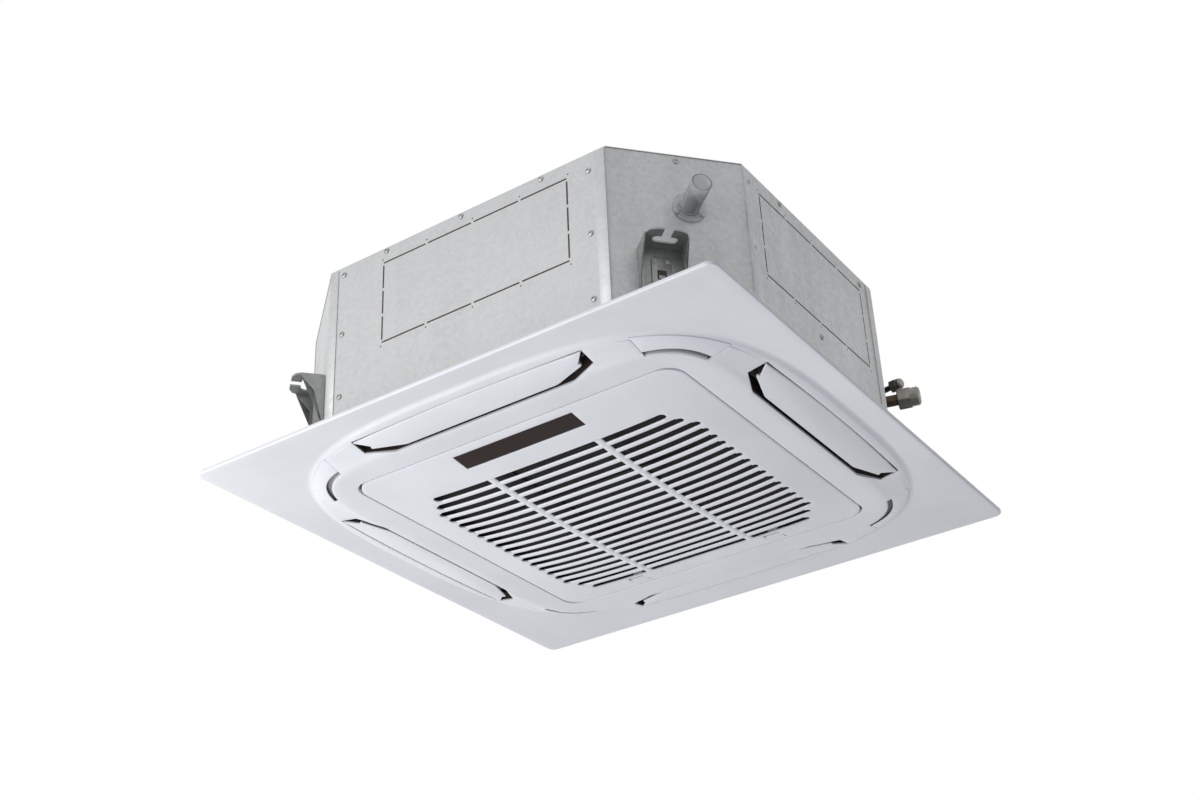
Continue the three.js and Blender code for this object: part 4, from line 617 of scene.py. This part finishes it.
def build_panel():
    """One skin: flange, shoulder, band, plateau, the opening's wall and back again above."""
    inner, inner_corner = DOOR_HALF + DOOR_GAP, OPENING_CORNER
    plateau = lambda a: squircle_reach(a, PLATEAU_HALF, PLATEAU_POWER)
    door = lambda a: rounded_reach(a, inner, inner_corner)
    edge = lambda a: squircle_reach(a, SHOULDER_OUTER, BAND_OUTER_POWER)
    rim = lambda a: rounded_reach(a, PANEL_HALF - RIM_ROUND, PANEL_CORNER - 2)
    rings = [rounded(PANEL_HALF, PANEL_CORNER, z) for z in (0, -PANEL_LIP + RIM_ROUND)]
    for step in range(1, RIM_STEPS + 1):
        angle = math.pi / 2 * step / RIM_STEPS
        inset = RIM_ROUND * (1 - math.cos(angle))
        z = -PANEL_LIP + RIM_ROUND * (1 - math.sin(angle))
        rings.append(rounded(PANEL_HALF - inset, PANEL_CORNER - inset, z))
    for share in FLANGE_SHARES:
        rings.append(blended(rim, edge, share, -PANEL_LIP + (SHOULDER_OUTER_Z + PANEL_LIP) * share))
    fall = SHOULDER_OUTER_Z - SHOULDER_INNER_Z
    width = SHOULDER_OUTER - SHOULDER_INNER
    for share in SHOULDER_SHARES:
        eased = share - math.sin(2 * math.pi * share) / (4 * math.pi)
        half = SHOULDER_OUTER - width * share
        rings.append(squircle(half, BAND_OUTER_POWER, SHOULDER_OUTER_Z - fall * eased))
    for place in BAND_PLACES:
        rings.append(band_ring(place))
    rings.append(band_ring(BAND_INNER + 1, 0.1))
    for half, z in PLATEAU_ROLL:
        rings.append(squircle(half, PLATEAU_POWER, z))
    rings.append(squircle(PLATEAU_HALF, PLATEAU_POWER, PLATEAU_Z))
    for share in PLATEAU_SHARES:
        z = PLATEAU_Z + (DOOR_EDGE_Z - PLATEAU_Z) * share
        rings.append(blended(plateau, door, share, z))
    for out, up in OPENING_EDGE:
        rings.append(rounded(inner + out, inner_corner + out, DOOR_EDGE_Z + up))
    rings.append(rounded(inner, inner_corner, OPENING_TOP))
    for z in (OPENING_TOP, DOOR_EDGE_Z + PANEL_SKIN):
        rings.append(rounded(inner + PANEL_SKIN, inner_corner + PANEL_SKIN, z))
    rings.append(squircle(PLATEAU_HALF, PLATEAU_POWER, PLATEAU_Z + PANEL_SKIN))
    rings.append(band_ring(BAND_INNER, PANEL_SKIN))
    rings.append(band_ring(BAND_BACK, PANEL_SKIN))
    rings.append(squircle(SHOULDER_OUTER, BAND_OUTER_POWER, -0.05))
    for z in (-PANEL_LIP + PANEL_SKIN, 0):
        rings.append(rounded(PANEL_HALF - RIM_FOOT[0], PANEL_CORNER - RIM_FOOT[1], z))
    shell = loft_mesh("panel_shell", rings, closed=True)
    outlet = prism_mesh("outlet", outlet_outline(), *OUTLET_CUT)
    cover_cut = corner_layer(BAND_INNER - CORNER_SLOT, BAND_INNER + COVER_LENGTH, *COVER_CUT,
                             COVER_START)
    tools = [turned(tool, 90 * i) for i in range(4) for tool in (outlet, cover_cut)]
    shell = combined(shell, joined("tools", tools), "DIFFERENCE")
    bevelled(shell, 0.5, angle=55)
    panel = put("panel", shell, WHITE)
    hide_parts("panel_frame")


def flattened(mesh):
    """Joins faces that lie in one plane, which clears the slivers that a cut leaves."""
    work = bmesh.new()
    work.from_mesh(mesh)
    bmesh.ops.remove_doubles(work, verts=work.verts, dist=0.02 * MM)
    bmesh.ops.dissolve_degenerate(work, edges=work.edges, dist=0.02 * MM)
    bmesh.ops.dissolve_limit(work, verts=work.verts, edges=work.edges, angle_limit=math.radians(0.15))
    work.to_mesh(mesh)
    work.free()
    return mesh


def corner_layer(inner, outer, low, high, start):
    """Stretch of the band in the corner +X, -Y, from start on along both sides."""
    layer = loft_mesh("layer", [band_ring(inner, low), band_ring(outer, low), band_ring(outer, high),
                                band_ring(inner, high)], closed=True)
    far = PANEL_HALF
    corners = [(start, -far), (far, -far), (far, -start), (start, -start)]
    region = prism_mesh("region", corners, *REGION_CUT)
    return combined(layer, region, "INTERSECT")


def build_ducts():
    """Walls behind each outlet, a white lip at the mouth with painted shade above it, trays behind the
    corner covers and walls in their slots.
    """
    outside = outlet_outline(COLLAR_WALL)
    inside = outlet_outline(DUCT_GAP)
    foot = lambda y: band_z(-y) + MOUTH_FOOT
    lip = lambda y: foot(y) + MOUTH_LIP
    top = lambda y: COLLAR_TOP
    # The upper wall is painted shade: near-black where the white wall lies in shadow; its
    # "black_plastic" entry is not used
    for name, low, high, material, slot in (("duct_painted_shade_", lip, top, PAINTED_DARK_SHADE, "black_plastic"),
                                            ("mouth_", foot, lip, WHITE, "white_plastic")):
        rings = [
            [(x, y, low(y)) for x, y in inside], [(x, y, high(y)) for x, y in inside],
            [(x, y, high(y)) for x, y in outside], [(x, y, low(y) + 0.4) for x, y in outside],
        ]
        wall = loft_mesh("duct", rings, closed=True)
        for i, side in enumerate(SIDES):
            put(name + side, turned(wall, 90 * i), material)
    slot_edge = BAND_INNER - CORNER_SLOT
    tray_foot = COVER_SKIN + TRAY_RISE
    tray = corner_layer(slot_edge + TRAY_START, BAND_INNER + COVER_LENGTH + TRAY_MARGIN, tray_foot,
                        tray_foot + TRAY_SKIN, COVER_START - TRAY_MARGIN)
    wall = corner_layer(slot_edge + SLOT_WALL[0], slot_edge + SLOT_WALL[1], *SLOT_WALL_Z,
                        COVER_START + COVER_GAP)
    for i in range(4):
        put(f"cover_tray_{i + 1}", turned(tray, 90 * i), SHADE)
        put(f"slot_wall_{i + 1}", turned(wall, 90 * i), WHITE)


def build_covers():
    """The four corner covers, which lie in the band outside the curved slots."""
    cover = corner_layer(BAND_INNER + COVER_INNER_GAP, BAND_INNER + COVER_LENGTH - COVER_GAP, 0,
                         COVER_SKIN, COVER_START + COVER_GAP)
    flattened(cover)
    bevelled(cover, 0.7, segments=3, angle=55)
    for i in range(4):
        piece = put(f"corner_cover_fine_{i + 1}", turned(cover, 90 * i), COVER_WHITE)
        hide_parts(f"corner_cover_{i + 1}")


def build_flaps():
    """Four flaps with a bowed outer edge, each on two arms with pins on its axis; arms and pins are
    painted shade, near-black where they lie in shadow.
    """
    end, inner = FLAP_ROUNDS
    corners = [(FLAP_HALF, -FLAP_END), (FLAP_INNER_HALF, -FLAP_INNER),
               (-FLAP_INNER_HALF, -FLAP_INNER), (-FLAP_HALF, -FLAP_END)]
    outline = bowed_edge(FLAP_HALF, FLAP_OUTER_END, FLAP_OUTER - FLAP_OUTER_END)
    outline += rounded_outline(corners, [end, inner, inner, end], 8)

    def inset(distance):
        result = []
        count = len(outline)
        for j, point in enumerate(outline):
            here = Vector(point)
            along = (Vector(outline[(j + 1) % count]) - Vector(outline[j - 1])).normalized()
            result.append(here + Vector((-along.y, along.x)) * distance)
        return result

    rings = [[(p.x, p.y, band_z(-p.y) + lift) for p in inset(distance)]
             for distance, lift in FLAP_LEVELS]
    blade = loft_mesh("flap_blade", rings)
    axis_y, axis_z = -FLAP_AXIS[0], FLAP_AXIS[1]
    parts = []
    for hand in (-1, 1):
        outer_x = hand * (FLAP_HALF - FLAP_ARM_INSET)
        inner_x = hand * (FLAP_HALF - FLAP_ARM_INSET - FLAP_ARM)
        foot = band_z(FLAP_AXIS[0]) + FLAP_ARM_RISE
        arm = [(axis_y + y, foot) for y in FLAP_ARM_FOOT]
        for around in range(0, 181, EYE_STEP):
            a = math.radians(around)
            arm.append((axis_y + FLAP_BOSS * math.cos(a), axis_z + FLAP_BOSS * math.sin(a)))
        parts.append(loft_mesh("arm", [[(x, y, z) for y, z in arm] for x in (inner_x, outer_x)]))
        ends = (hand * (FLAP_HALF - FLAP_ARM_INSET - 1), hand * (OUTLET_HALF + 2))
        round_pin = [(axis_y + FLAP_PIN * math.cos(a), axis_z + FLAP_PIN * math.sin(a)) for a in
                     (math.radians(v) for v in range(0, 360, EYE_STEP))]
        parts.append(loft_mesh("pin", [[(x, y, z) for y, z in round_pin] for x in ends]))
    arms = joined("flap_arms", parts)
    for i, side in enumerate(SIDES):
        piece = put("flap_fine_" + side, turned(blade, 90 * i), WHITE, body="flap_" + side)
        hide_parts("flap_" + side)
        # The arms and pins take painted shade
        put("flap_arms_" + side, turned(arms, 90 * i), PAINTED_DARK_SHADE, body="flap_" + side)


# ---- grille door
def slot_reach(row):
    """Half length of a slot; the first and last two rows are shorter."""
    return SLOT_REACH[min(row, SLOT_ROWS - 1 - row, 2)]


def slot_y(row):
    return FIRST_SLOT + row * SLOT_PITCH


def field_outline(steps=8):
    """Outline of the slotted field, round at each slot's end."""
    right = []
    for row in range(SLOT_ROWS):
        extra = FIRST_SLOT_EXTRA / 2 if row == 0 else 0
        radius = SLOT_PITCH / 2 - (SLOT_PITCH - SLOT_HEIGHT) / 2 * SLAT_FULLNESS + extra
        y = slot_y(row) - extra
        for i in range(steps + 1):
            angle = math.radians(-90 + 180 * i / steps)
            x = slot_reach(row) - radius + radius * math.cos(angle)
            right.append((x, y + radius * math.sin(angle)))
    return right + [(-x, y) for x, y in reversed(right)]


def slat_rings(row, steps=36):
    """Bullnose slat between two rows, from end to end."""
    y0 = slot_y(row) + SLOT_PITCH / 2
    half = (SLOT_PITCH - SLOT_HEIGHT) / 2
    reach = max(slot_reach(row), slot_reach(row + 1)) - SLOT_HEIGHT / 2 + SLAT_ROOT
    section = []
    for j in range(SLAT_SIDES):
        angle = 2 * math.pi * j / SLAT_SIDES
        drop = SLAT_DEPTH / 2 - SLAT_DEPTH / 2 * math.cos(angle)
        section.append((half * math.sin(angle) * SLAT_FULLNESS, drop))
    rings = []
    for i in range(steps + 1):
        x = -reach + 2 * reach * i / steps
        z = dome(x, y0)
        rings.append([(x, y0 + dy, z + dz) for dy, dz in section])
    return rings


def bar_rings(hand, steps=40):
    """Cross bar that ties the slats together."""
    x0 = hand * BAR_PLACE
    half = BAR_WIDTH / 2
    start = FIRST_SLOT - SLOT_HEIGHT / 2 - BAR_ROOT
    end = slot_y(SLOT_ROWS - 1) + SLOT_HEIGHT / 2 + BAR_ROOT
    section = [(half * share, lift) for share, lift in BAR_FACE]
    back = SLAT_DEPTH + BAR_EXTRA
    section += [(half - BAR_TAPER, back), (-half + BAR_TAPER, back)]
    rings = []
    for i in range(steps + 1):
        y = start + (end - start) * i / steps
        z = dome(x0, y)
        rings.append([(x0 + dx, y, z + dz) for dx, dz in section])
    return rings


def door_ring(share, lift):
    """Ring on the dome at a share of the door's outline."""
    return ring_at(lambda a: share * rounded_reach(a, DOOR_HALF, DOOR_CORNER),
                   lambda x, y: dome(x, y) + lift)


def build_door():
    """Domed grille door: shell with the slotted field cut out, slats and cross bars in it."""
    rings = [door_ring(share, 0) for share in reversed(DOOR_SHARES)]
    for inset, up in DOOR_EDGE:
        rings.append(rounded(DOOR_HALF - inset, DOOR_CORNER, DOOR_EDGE_Z + up))
    rings.append(rounded(DOOR_HALF, DOOR_CORNER, DOOR_RIM_TOP))
    for z in (DOOR_RIM_TOP, DOOR_EDGE_Z + DOOR_RIM_FOOT):
        rings.append(rounded(DOOR_HALF - DOOR_RIM, DOOR_CORNER - DOOR_RIM, z))
    rings += [door_ring(share, DOOR_SKIN) for share in DOOR_SHARES[2:]]
    shell = loft_mesh("door_shell", rings, closed=True)
    field = prism_mesh("field", field_outline(), -CUT_DEPTH, 20)
    tools = [field]
    gap = SEAT + 0.1            # round the window and the catches
    tools.append(box_mesh("window_cut", (-WINDOW_HALF - gap, WINDOW_NEAR - gap, -CUT_DEPTH),
                          (WINDOW_HALF + gap, WINDOW_FAR + gap, 0)))
    for hand in (-1, 1):
        x = hand * LATCH_PLACE
        half = LATCH_WIDTH / 2 + gap
        near, far = LATCH_Y - LATCH_DEPTH / 2 - LATCH_TRAVEL_ROOM, LATCH_Y + LATCH_DEPTH / 2 + gap
        corners = [(x - half, near), (x + half, near), (x + half, far), (x - half, far)]
        outline = rounded_outline(corners, 1.5)
        tools.append(prism_mesh("latch_cut", outline, -CUT_DEPTH, 0))
    shell = combined(shell, joined("cuts", tools), "DIFFERENCE")
    bevelled(shell, 0.45, angle=60)
    slats = [loft_mesh("slat", slat_rings(row)) for row in range(SLOT_ROWS - 1)]
    bars = [loft_mesh("bar", bar_rings(hand)) for hand in (-1, 1)]
    whole = joined("grille_door_fine", [shell] + slats + bars)
    piece = put("grille_door_fine", whole, WHITE, body="grille_door")
    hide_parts("intake_grille")


def build_window():
    """Glossy dark window that follows the door's dome."""
    columns, rows = WINDOW_FACES
    counts = (columns, rows, columns, rows)
    rings = []
    for inset, lift in WINDOW_EDGE:
        ring = []
        x1, y0, y1 = WINDOW_HALF - inset, WINDOW_NEAR + inset, WINDOW_FAR - inset
        corners = [(-x1, y0), (x1, y0), (x1, y1), (-x1, y1)]
        for i in range(4):
            (xa, ya), (xb, yb) = corners[i], corners[(i + 1) % 4]
            for j in range(counts[i]):
                share = j / counts[i]
                x, y = xa + (xb - xa) * share, ya + (yb - ya) * share
                ring.append((x, y, dome(x, y) + lift + WINDOW_SINK))
        rings.append(ring)
    points, faces = lofted(rings, capped=False)
    count = len(rings[0])
    last = len(points) - count
    inner = []
    for row in range(1, rows):
        for column in range(1, columns):
            x, y = -x1 + 2 * x1 * column / columns, y0 + (y1 - y0) * row / rows
            inner.append((x, y, dome(x, y) + WINDOW_SINK))

    def index(row, column):
        """Point at a row and column of the face; its outermost ones are the last ring's."""
        if row == 0:
            return last + column
        if row == rows:
            return last + columns + rows + (columns - column)
        if column == columns:
            return last + columns + row
        if column == 0:
            return last + 2 * columns + rows + (rows - row)
        return len(points) + (row - 1) * (columns - 1) + column - 1

    for row in range(rows):
        for column in range(columns):
            faces.append((index(row, column), index(row, column + 1),
                          index(row + 1, column + 1), index(row + 1, column)))
    faces.append(tuple(range(count)))
    mesh = face_out(mesh_of("window", points + inner, faces))
    piece = put("display_window_fine", mesh, WINDOW, body="grille_door")
    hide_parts("display_window")


# ---- casing
def side_frame(i):
    """Start, direction, outward direction and length of a casing side."""
    start = Vector(CASING_CORNERS[i % 8])
    end = Vector(CASING_CORNERS[(i + 1) % 8])
    along = (end - start).normalized()
    return start, along, Vector((along.y, -along.x)), (end - start).length


def side_matrix(i, along, out, z):
    """Places a shape modelled with X along a side, Z out of it and Y up."""
    start, direction, outward = side_frame(i)[:3]
    place = start + direction * along + outward * out
    return Matrix(((direction.x, 0, outward.x, place.x * MM), (direction.y, 0, outward.y, place.y * MM),
                   (0, 1, 0, z * MM), (0, 0, 0, 1)))


def place_on_side(mesh, i, along, out, z):
    """Copy of a mesh, placed on a casing side."""
    copy = mesh.copy()
    copy.transform(side_matrix(i, along, out, z))
    return face_out(copy)


def screw_mesh(radius=4.2, rise=2.2):
    """Pan-head screw with a crossed recess, standing along Z."""
    profile = [(0.01, -0.5), (radius * 1.25, -0.5), (radius * 1.25, 0.35), (radius, 0.4),
               (radius * 0.96, rise * 0.6), (radius * 0.7, rise * 0.92), (0.01, rise)]
    head = revolved("screw", profile, 20)
    slots = []
    for angle in (0, 90):
        slot = box_mesh("slot", (-radius * 0.62, -0.5, rise * 0.45), (radius * 0.62, 0.5, rise + 1))
        slots.append(turned(slot, angle + 20))
    for slot in slots:
        head = combined(head, slot, "DIFFERENCE")
    return head


# Screws on the casing's sides: distance along the side and height.
FRONT_SCREWS = [
    (29, 299), (29, 186), (29, 72), (507, 283), (507, 170), (507, 57),
    (118, 308), (268, 308), (421, 308),
]
NEAR_SCREWS = [(109, 304)]
RIGHT_SCREWS = [(116, 308), (385, 302), (211, 112), (16, 290), (16, 170), (16, 60)]


def build_screws():
    """Screws on the four side plates and the corner face that shows; the far sides repeat the near."""
    screw = screw_mesh()
    places = {0: FRONT_SCREWS, 1: NEAR_SCREWS, 2: RIGHT_SCREWS, 4: FRONT_SCREWS, 6: RIGHT_SCREWS}
    for i, spots in places.items():
        sink = FACE_SINK if i % 2 else 0
        for j, (along, z) in enumerate(spots):
            piece = place_on_side(screw, i, along, -sink + 0.3, z)
            put(f"screw_{i}_{j}", piece, SCREW)


def plate_strip(name, i, span, heights, rise, material=SHEET_METAL):
    """Raised strip on a casing side, with rounded edges."""
    mesh = box_mesh(name, (span[0], heights[0], -0.2), (span[1], heights[1], rise))
    bevelled(mesh, min(0.5, rise * 0.45))
    put(name, place_on_side(mesh, i, 0, 0, 0), material)


def build_casing_trim():
    """Joggled strips at the ends and along the foot of each side plate."""
    for i in (0, 2, 4, 6):
        length = side_frame(i)[3]
        spans = {"a": (STRIP_SET_IN, FIRST_STRIP_END),
                 "b": (length - LAST_STRIP_START, length - STRIP_SET_IN)}
        for hand, span in spans.items():
            plate_strip(f"end_strip_{i}_{hand}", i, span, END_STRIP_Z, END_STRIP_RISE, STRIP_METAL)
        span = (FIRST_STRIP_END + 1, length - LAST_STRIP_START - 1)
        plate_strip(f"foot_strip_{i}", i, span, FOOT_STRIP_Z, FOOT_STRIP_RISE)


def slit_spans(start, end, count):
    """Start and end of each slit in a row of slits."""
    length = (end - start - (count - 1) * SLIT_GAP) / count
    starts = [start + i * (length + SLIT_GAP) for i in range(count)]
    return [(first, first + length) for first in starts]


def build_knockouts():
    """Painted shade: near-black strips just behind the knock-out slits, and near-black dots for the
    small pin holes beside their gaps.
    """
    low, high = KNOCKOUT_Z
    inside, outside = SLIT_SHADE_DEPTH
    half = SLIT_WIDTH / 2 + SLIT_MARGIN
    for i, (x0, x1) in KNOCKOUTS.items():
        parts = []
        for z in (low, high):
            for a, b in slit_spans(x0, x1, 4):
                parts.append(box_mesh("slit", (a - SLIT_MARGIN, z - half, inside),
                                      (b + SLIT_MARGIN, z + half, outside)))
        for x in (x0, x1):
            for a, b in slit_spans(low + SLIT_GAP, high - SLIT_GAP, 3):
                parts.append(box_mesh("slit", (x - half, a - SLIT_MARGIN, inside),
                                      (x + half, b + SLIT_MARGIN, outside)))
        hole = revolved("hole", [(0.01, -0.2), (PIN_HOLE, -0.2), (PIN_HOLE, 0.12), (0.01, 0.12)], 16)
        for z, way in ((low, -1), (high, 1)):
            for x in [x0 - 2] + [b + SLIT_GAP / 2 for a, b in slit_spans(x0, x1, 4)]:
                spot = hole.copy()
                spot.transform(Matrix.Translation(Vector((x, z + way * PIN_PLACE, 0)) * MM))
                parts.append(spot)
        # All of these pieces are painted shade, near-black where the openings show shadow
        dark = joined("slits", parts)
        put(f"knockout_dark_{i}", place_on_side(dark, i, 0, 0, 0), PAINTED_DARK_SHADE)


def build_drain():
    """Clear drain socket with its screwed flange and the dark seal at its base."""
    face = -FACE_SINK + SEAT
    profile = [
        (5, -20), (7, -20), (7, face - 0.2), (DRAIN_FLANGE - 0.4, face), (DRAIN_FLANGE, face + 0.5),
        (DRAIN_FLANGE, face + 1.8), (DRAIN_FLANGE - 0.5, face + 2.3), (DRAIN_RADIUS + 2.5, face + 2.6),
        (DRAIN_RADIUS + 0.7, face + 3.4), (DRAIN_RADIUS, face + 5), (DRAIN_RADIUS, DRAIN_REACH - 0.4),
        (DRAIN_RADIUS - 0.4, DRAIN_REACH), (DRAIN_BORE + 0.4, DRAIN_REACH),
        (DRAIN_BORE, DRAIN_REACH - 0.4), (DRAIN_BORE, face + 5), (DRAIN_BORE - 2, face + 3.2),
        (5, face + 3.2),
    ]
    tube = place_on_side(revolved("drain", profile, 64), NEAR, DRAIN_ALONG, 0, DRAIN_Z)
    piece = put("drain_socket_fine", tube, SMOKE)
    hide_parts("drain_socket")
    profile = [(0.01, face + 3.3), (DRAIN_BORE - 2, face + 3.3), (DRAIN_BORE - 0.4, face + 5.2),
               (DRAIN_BORE - 0.4, face + 8), (DRAIN_BORE - 2.4, face + 9), (0.01, face + 9)]
    plug = revolved("plug", profile, 48)
    put("drain_inner_seal", place_on_side(plug, NEAR, DRAIN_ALONG, 0, DRAIN_Z), SEAL)
    screw = screw_mesh(3.2, 1.8)
    for j, angle in enumerate((90, 210, 330)):
        a = math.radians(angle)
        spot = place_on_side(screw, NEAR, DRAIN_ALONG + DRAIN_SCREW_CIRCLE * math.cos(a), face + 2.6,
                             DRAIN_Z + DRAIN_SCREW_CIRCLE * math.sin(a))
        put(f"drain_screw_{j}", spot, SCREW)


def upright(along, half, heights):
    """Corners of a rectangle on a casing side: distance along it and height."""
    low, high = heights
    return [(along - half, low), (along + half, low), (along + half, high), (along - half, high)]


def build_hanger_trim():
    """Pressed middle panel, screws, window and tab of each suspension bracket; the window is a
    near-black patch of painted shade.
    """
    screw = screw_mesh(3.4, 2.0)
    face = -FACE_SINK + SEAT + HANGER_SHEET
    for i, along in HANGER_PLACES:
        outline = rounded_outline(upright(along, HANGER_PANEL_HALF, HANGER_PANEL_Z), 4, 4)
        middle = prism_mesh("middle", outline, face - 0.2, face + 1.2)
        bevelled(middle, 0.5)
        put(f"hanger_panel_{i}", place_on_side(middle, i, 0, 0, 0), BRACKET)
        for hand in (-1, 1):
            spot = place_on_side(screw, i, along + hand * HANGER_SCREW_PLACE, face + 1.2, HANGER_SCREW_Z)
            put(f"hanger_screw_{i}_{'a' if hand < 0 else 'b'}", spot, SCREW)
        # The window is painted shade: a thin near-black patch on the bracket's face
        outline = rounded_outline(upright(along, HANGER_WINDOW_HALF, HANGER_WINDOW_Z), 1.5, 3)
        tab = prism_mesh("tab", outline, face + 0.9, face + 1.5)
        put(f"hanger_window_shade_{i}", place_on_side(tab, i, 0, 0, 0), PAINTED_DARK_SHADE)
        low, high = HANGER_TAB_Z
        lip = box_mesh("lip", (along - HANGER_TAB_HALF, low, face + 1.4),
                       (along + HANGER_TAB_HALF, high, face + 2.4))
        bevelled(lip, 0.4)
        put(f"hanger_tab_{i}", place_on_side(lip, i, 0, 0, 0), BRACKET)


def soften(node, width):
    """Rounds the edges of a node of the part with a modifier."""
    modifier = frame["nodes"][node].modifiers.new("rounding", "BEVEL")
    modifier.width = width * MM
    modifier.segments = 2
    modifier.limit_method = "ANGLE"
    modifier.angle_limit = math.radians(ROUND_ANGLE)


# ---- studio
FLOOR_TONES = (0.86, 0.9)
WORLD_TINT, WORLD_STRENGTH = (0.9, 0.93, 1.0, 1), 0.37
LAMP_AIM = (0, 0, 50)
LAMPS = [                   # name, place, size, watts
    ("key", (-1500, -3800, 300), (1800, 1800), 60),
    ("fill_below", (-1150, -1150, -1500), (1900, 1700), 36),
]


def build_studio():
    """Pale floor, white surroundings as the camera sees them, and two soft lamps."""
    scene = bpy.context.scene
    world = bpy.data.worlds.new("studio")
    scene.world = world
    world.use_nodes = True
    nodes = world.node_tree.nodes
    links = world.node_tree.links
    background = nodes["Background"]
    background.inputs["Color"].default_value = WORLD_TINT
    background.inputs["Strength"].default_value = WORLD_STRENGTH
    seen = nodes.new("ShaderNodeBackground")
    seen.inputs["Color"].default_value = (1, 1, 1, 1)
    paths = nodes.new("ShaderNodeLightPath")
    either = nodes.new("ShaderNodeMath")
    either.operation = "ADD"
    all_three = nodes.new("ShaderNodeMath")
    all_three.operation = "ADD"
    all_three.use_clamp = True
    links.new(paths.outputs["Is Camera Ray"], either.inputs[0])
    links.new(paths.outputs["Is Glossy Ray"], either.inputs[1])
    links.new(either.outputs["Value"], all_three.inputs[0])
    links.new(paths.outputs["Is Transmission Ray"], all_three.inputs[1])
    mix = nodes.new("ShaderNodeMixShader")
    links.new(all_three.outputs["Value"], mix.inputs["Fac"])
    links.new(background.outputs["Background"], mix.inputs[1])
    links.new(seen.outputs["Background"], mix.inputs[2])
    links.new(mix.outputs["Shader"], nodes["World Output"].inputs["Surface"])
    floor_mesh = box_mesh("floor", (-FLOOR_HALF, -FLOOR_HALF, FLOOR_Z - FLOOR_DEPTH),
                          (FLOOR_HALF, FLOOR_HALF, FLOOR_Z))
    floor = bpy.data.objects.new("floor", floor_mesh)
    scene.collection.objects.link(floor)
    material, floor_nodes, floor_links, shader = new_material("pale_floor")
    tone = ramp(floor_nodes, floor_links, noise(floor_nodes, floor_links, 2),
                [(0.3, grey(FLOOR_TONES[0])), (0.7, grey(FLOOR_TONES[1]))])
    floor_links.new(tone, shader.inputs["Base Color"])
    shader.inputs["Roughness"].default_value = 0.9
    floor_mesh.materials.append(material)
    for name, place, size, power in LAMPS:
        data = bpy.data.lights.new(name, "AREA")
        data.shape = "RECTANGLE"
        data.size, data.size_y = size[0] * MM, size[1] * MM
        data.energy = power
        lamp = bpy.data.objects.new(name, data)
        lamp.location = Vector(place) * MM
        aim = Vector(LAMP_AIM) - Vector(place)
        lamp.rotation_euler = aim.to_track_quat("-Z", "Y").to_euler()
        scene.collection.objects.link(lamp)
    scene.view_settings.view_transform = "Standard"


build_panel()
build_ducts()
build_covers()
build_flaps()
build_door()
build_window()
build_casing_trim()
build_knockouts()
build_screws()
build_drain()
build_hanger_trim()
for bracket in ("near", "pipe", "back", "left"):
    soften("hanger_" + bracket, 0.6)
build_studio()
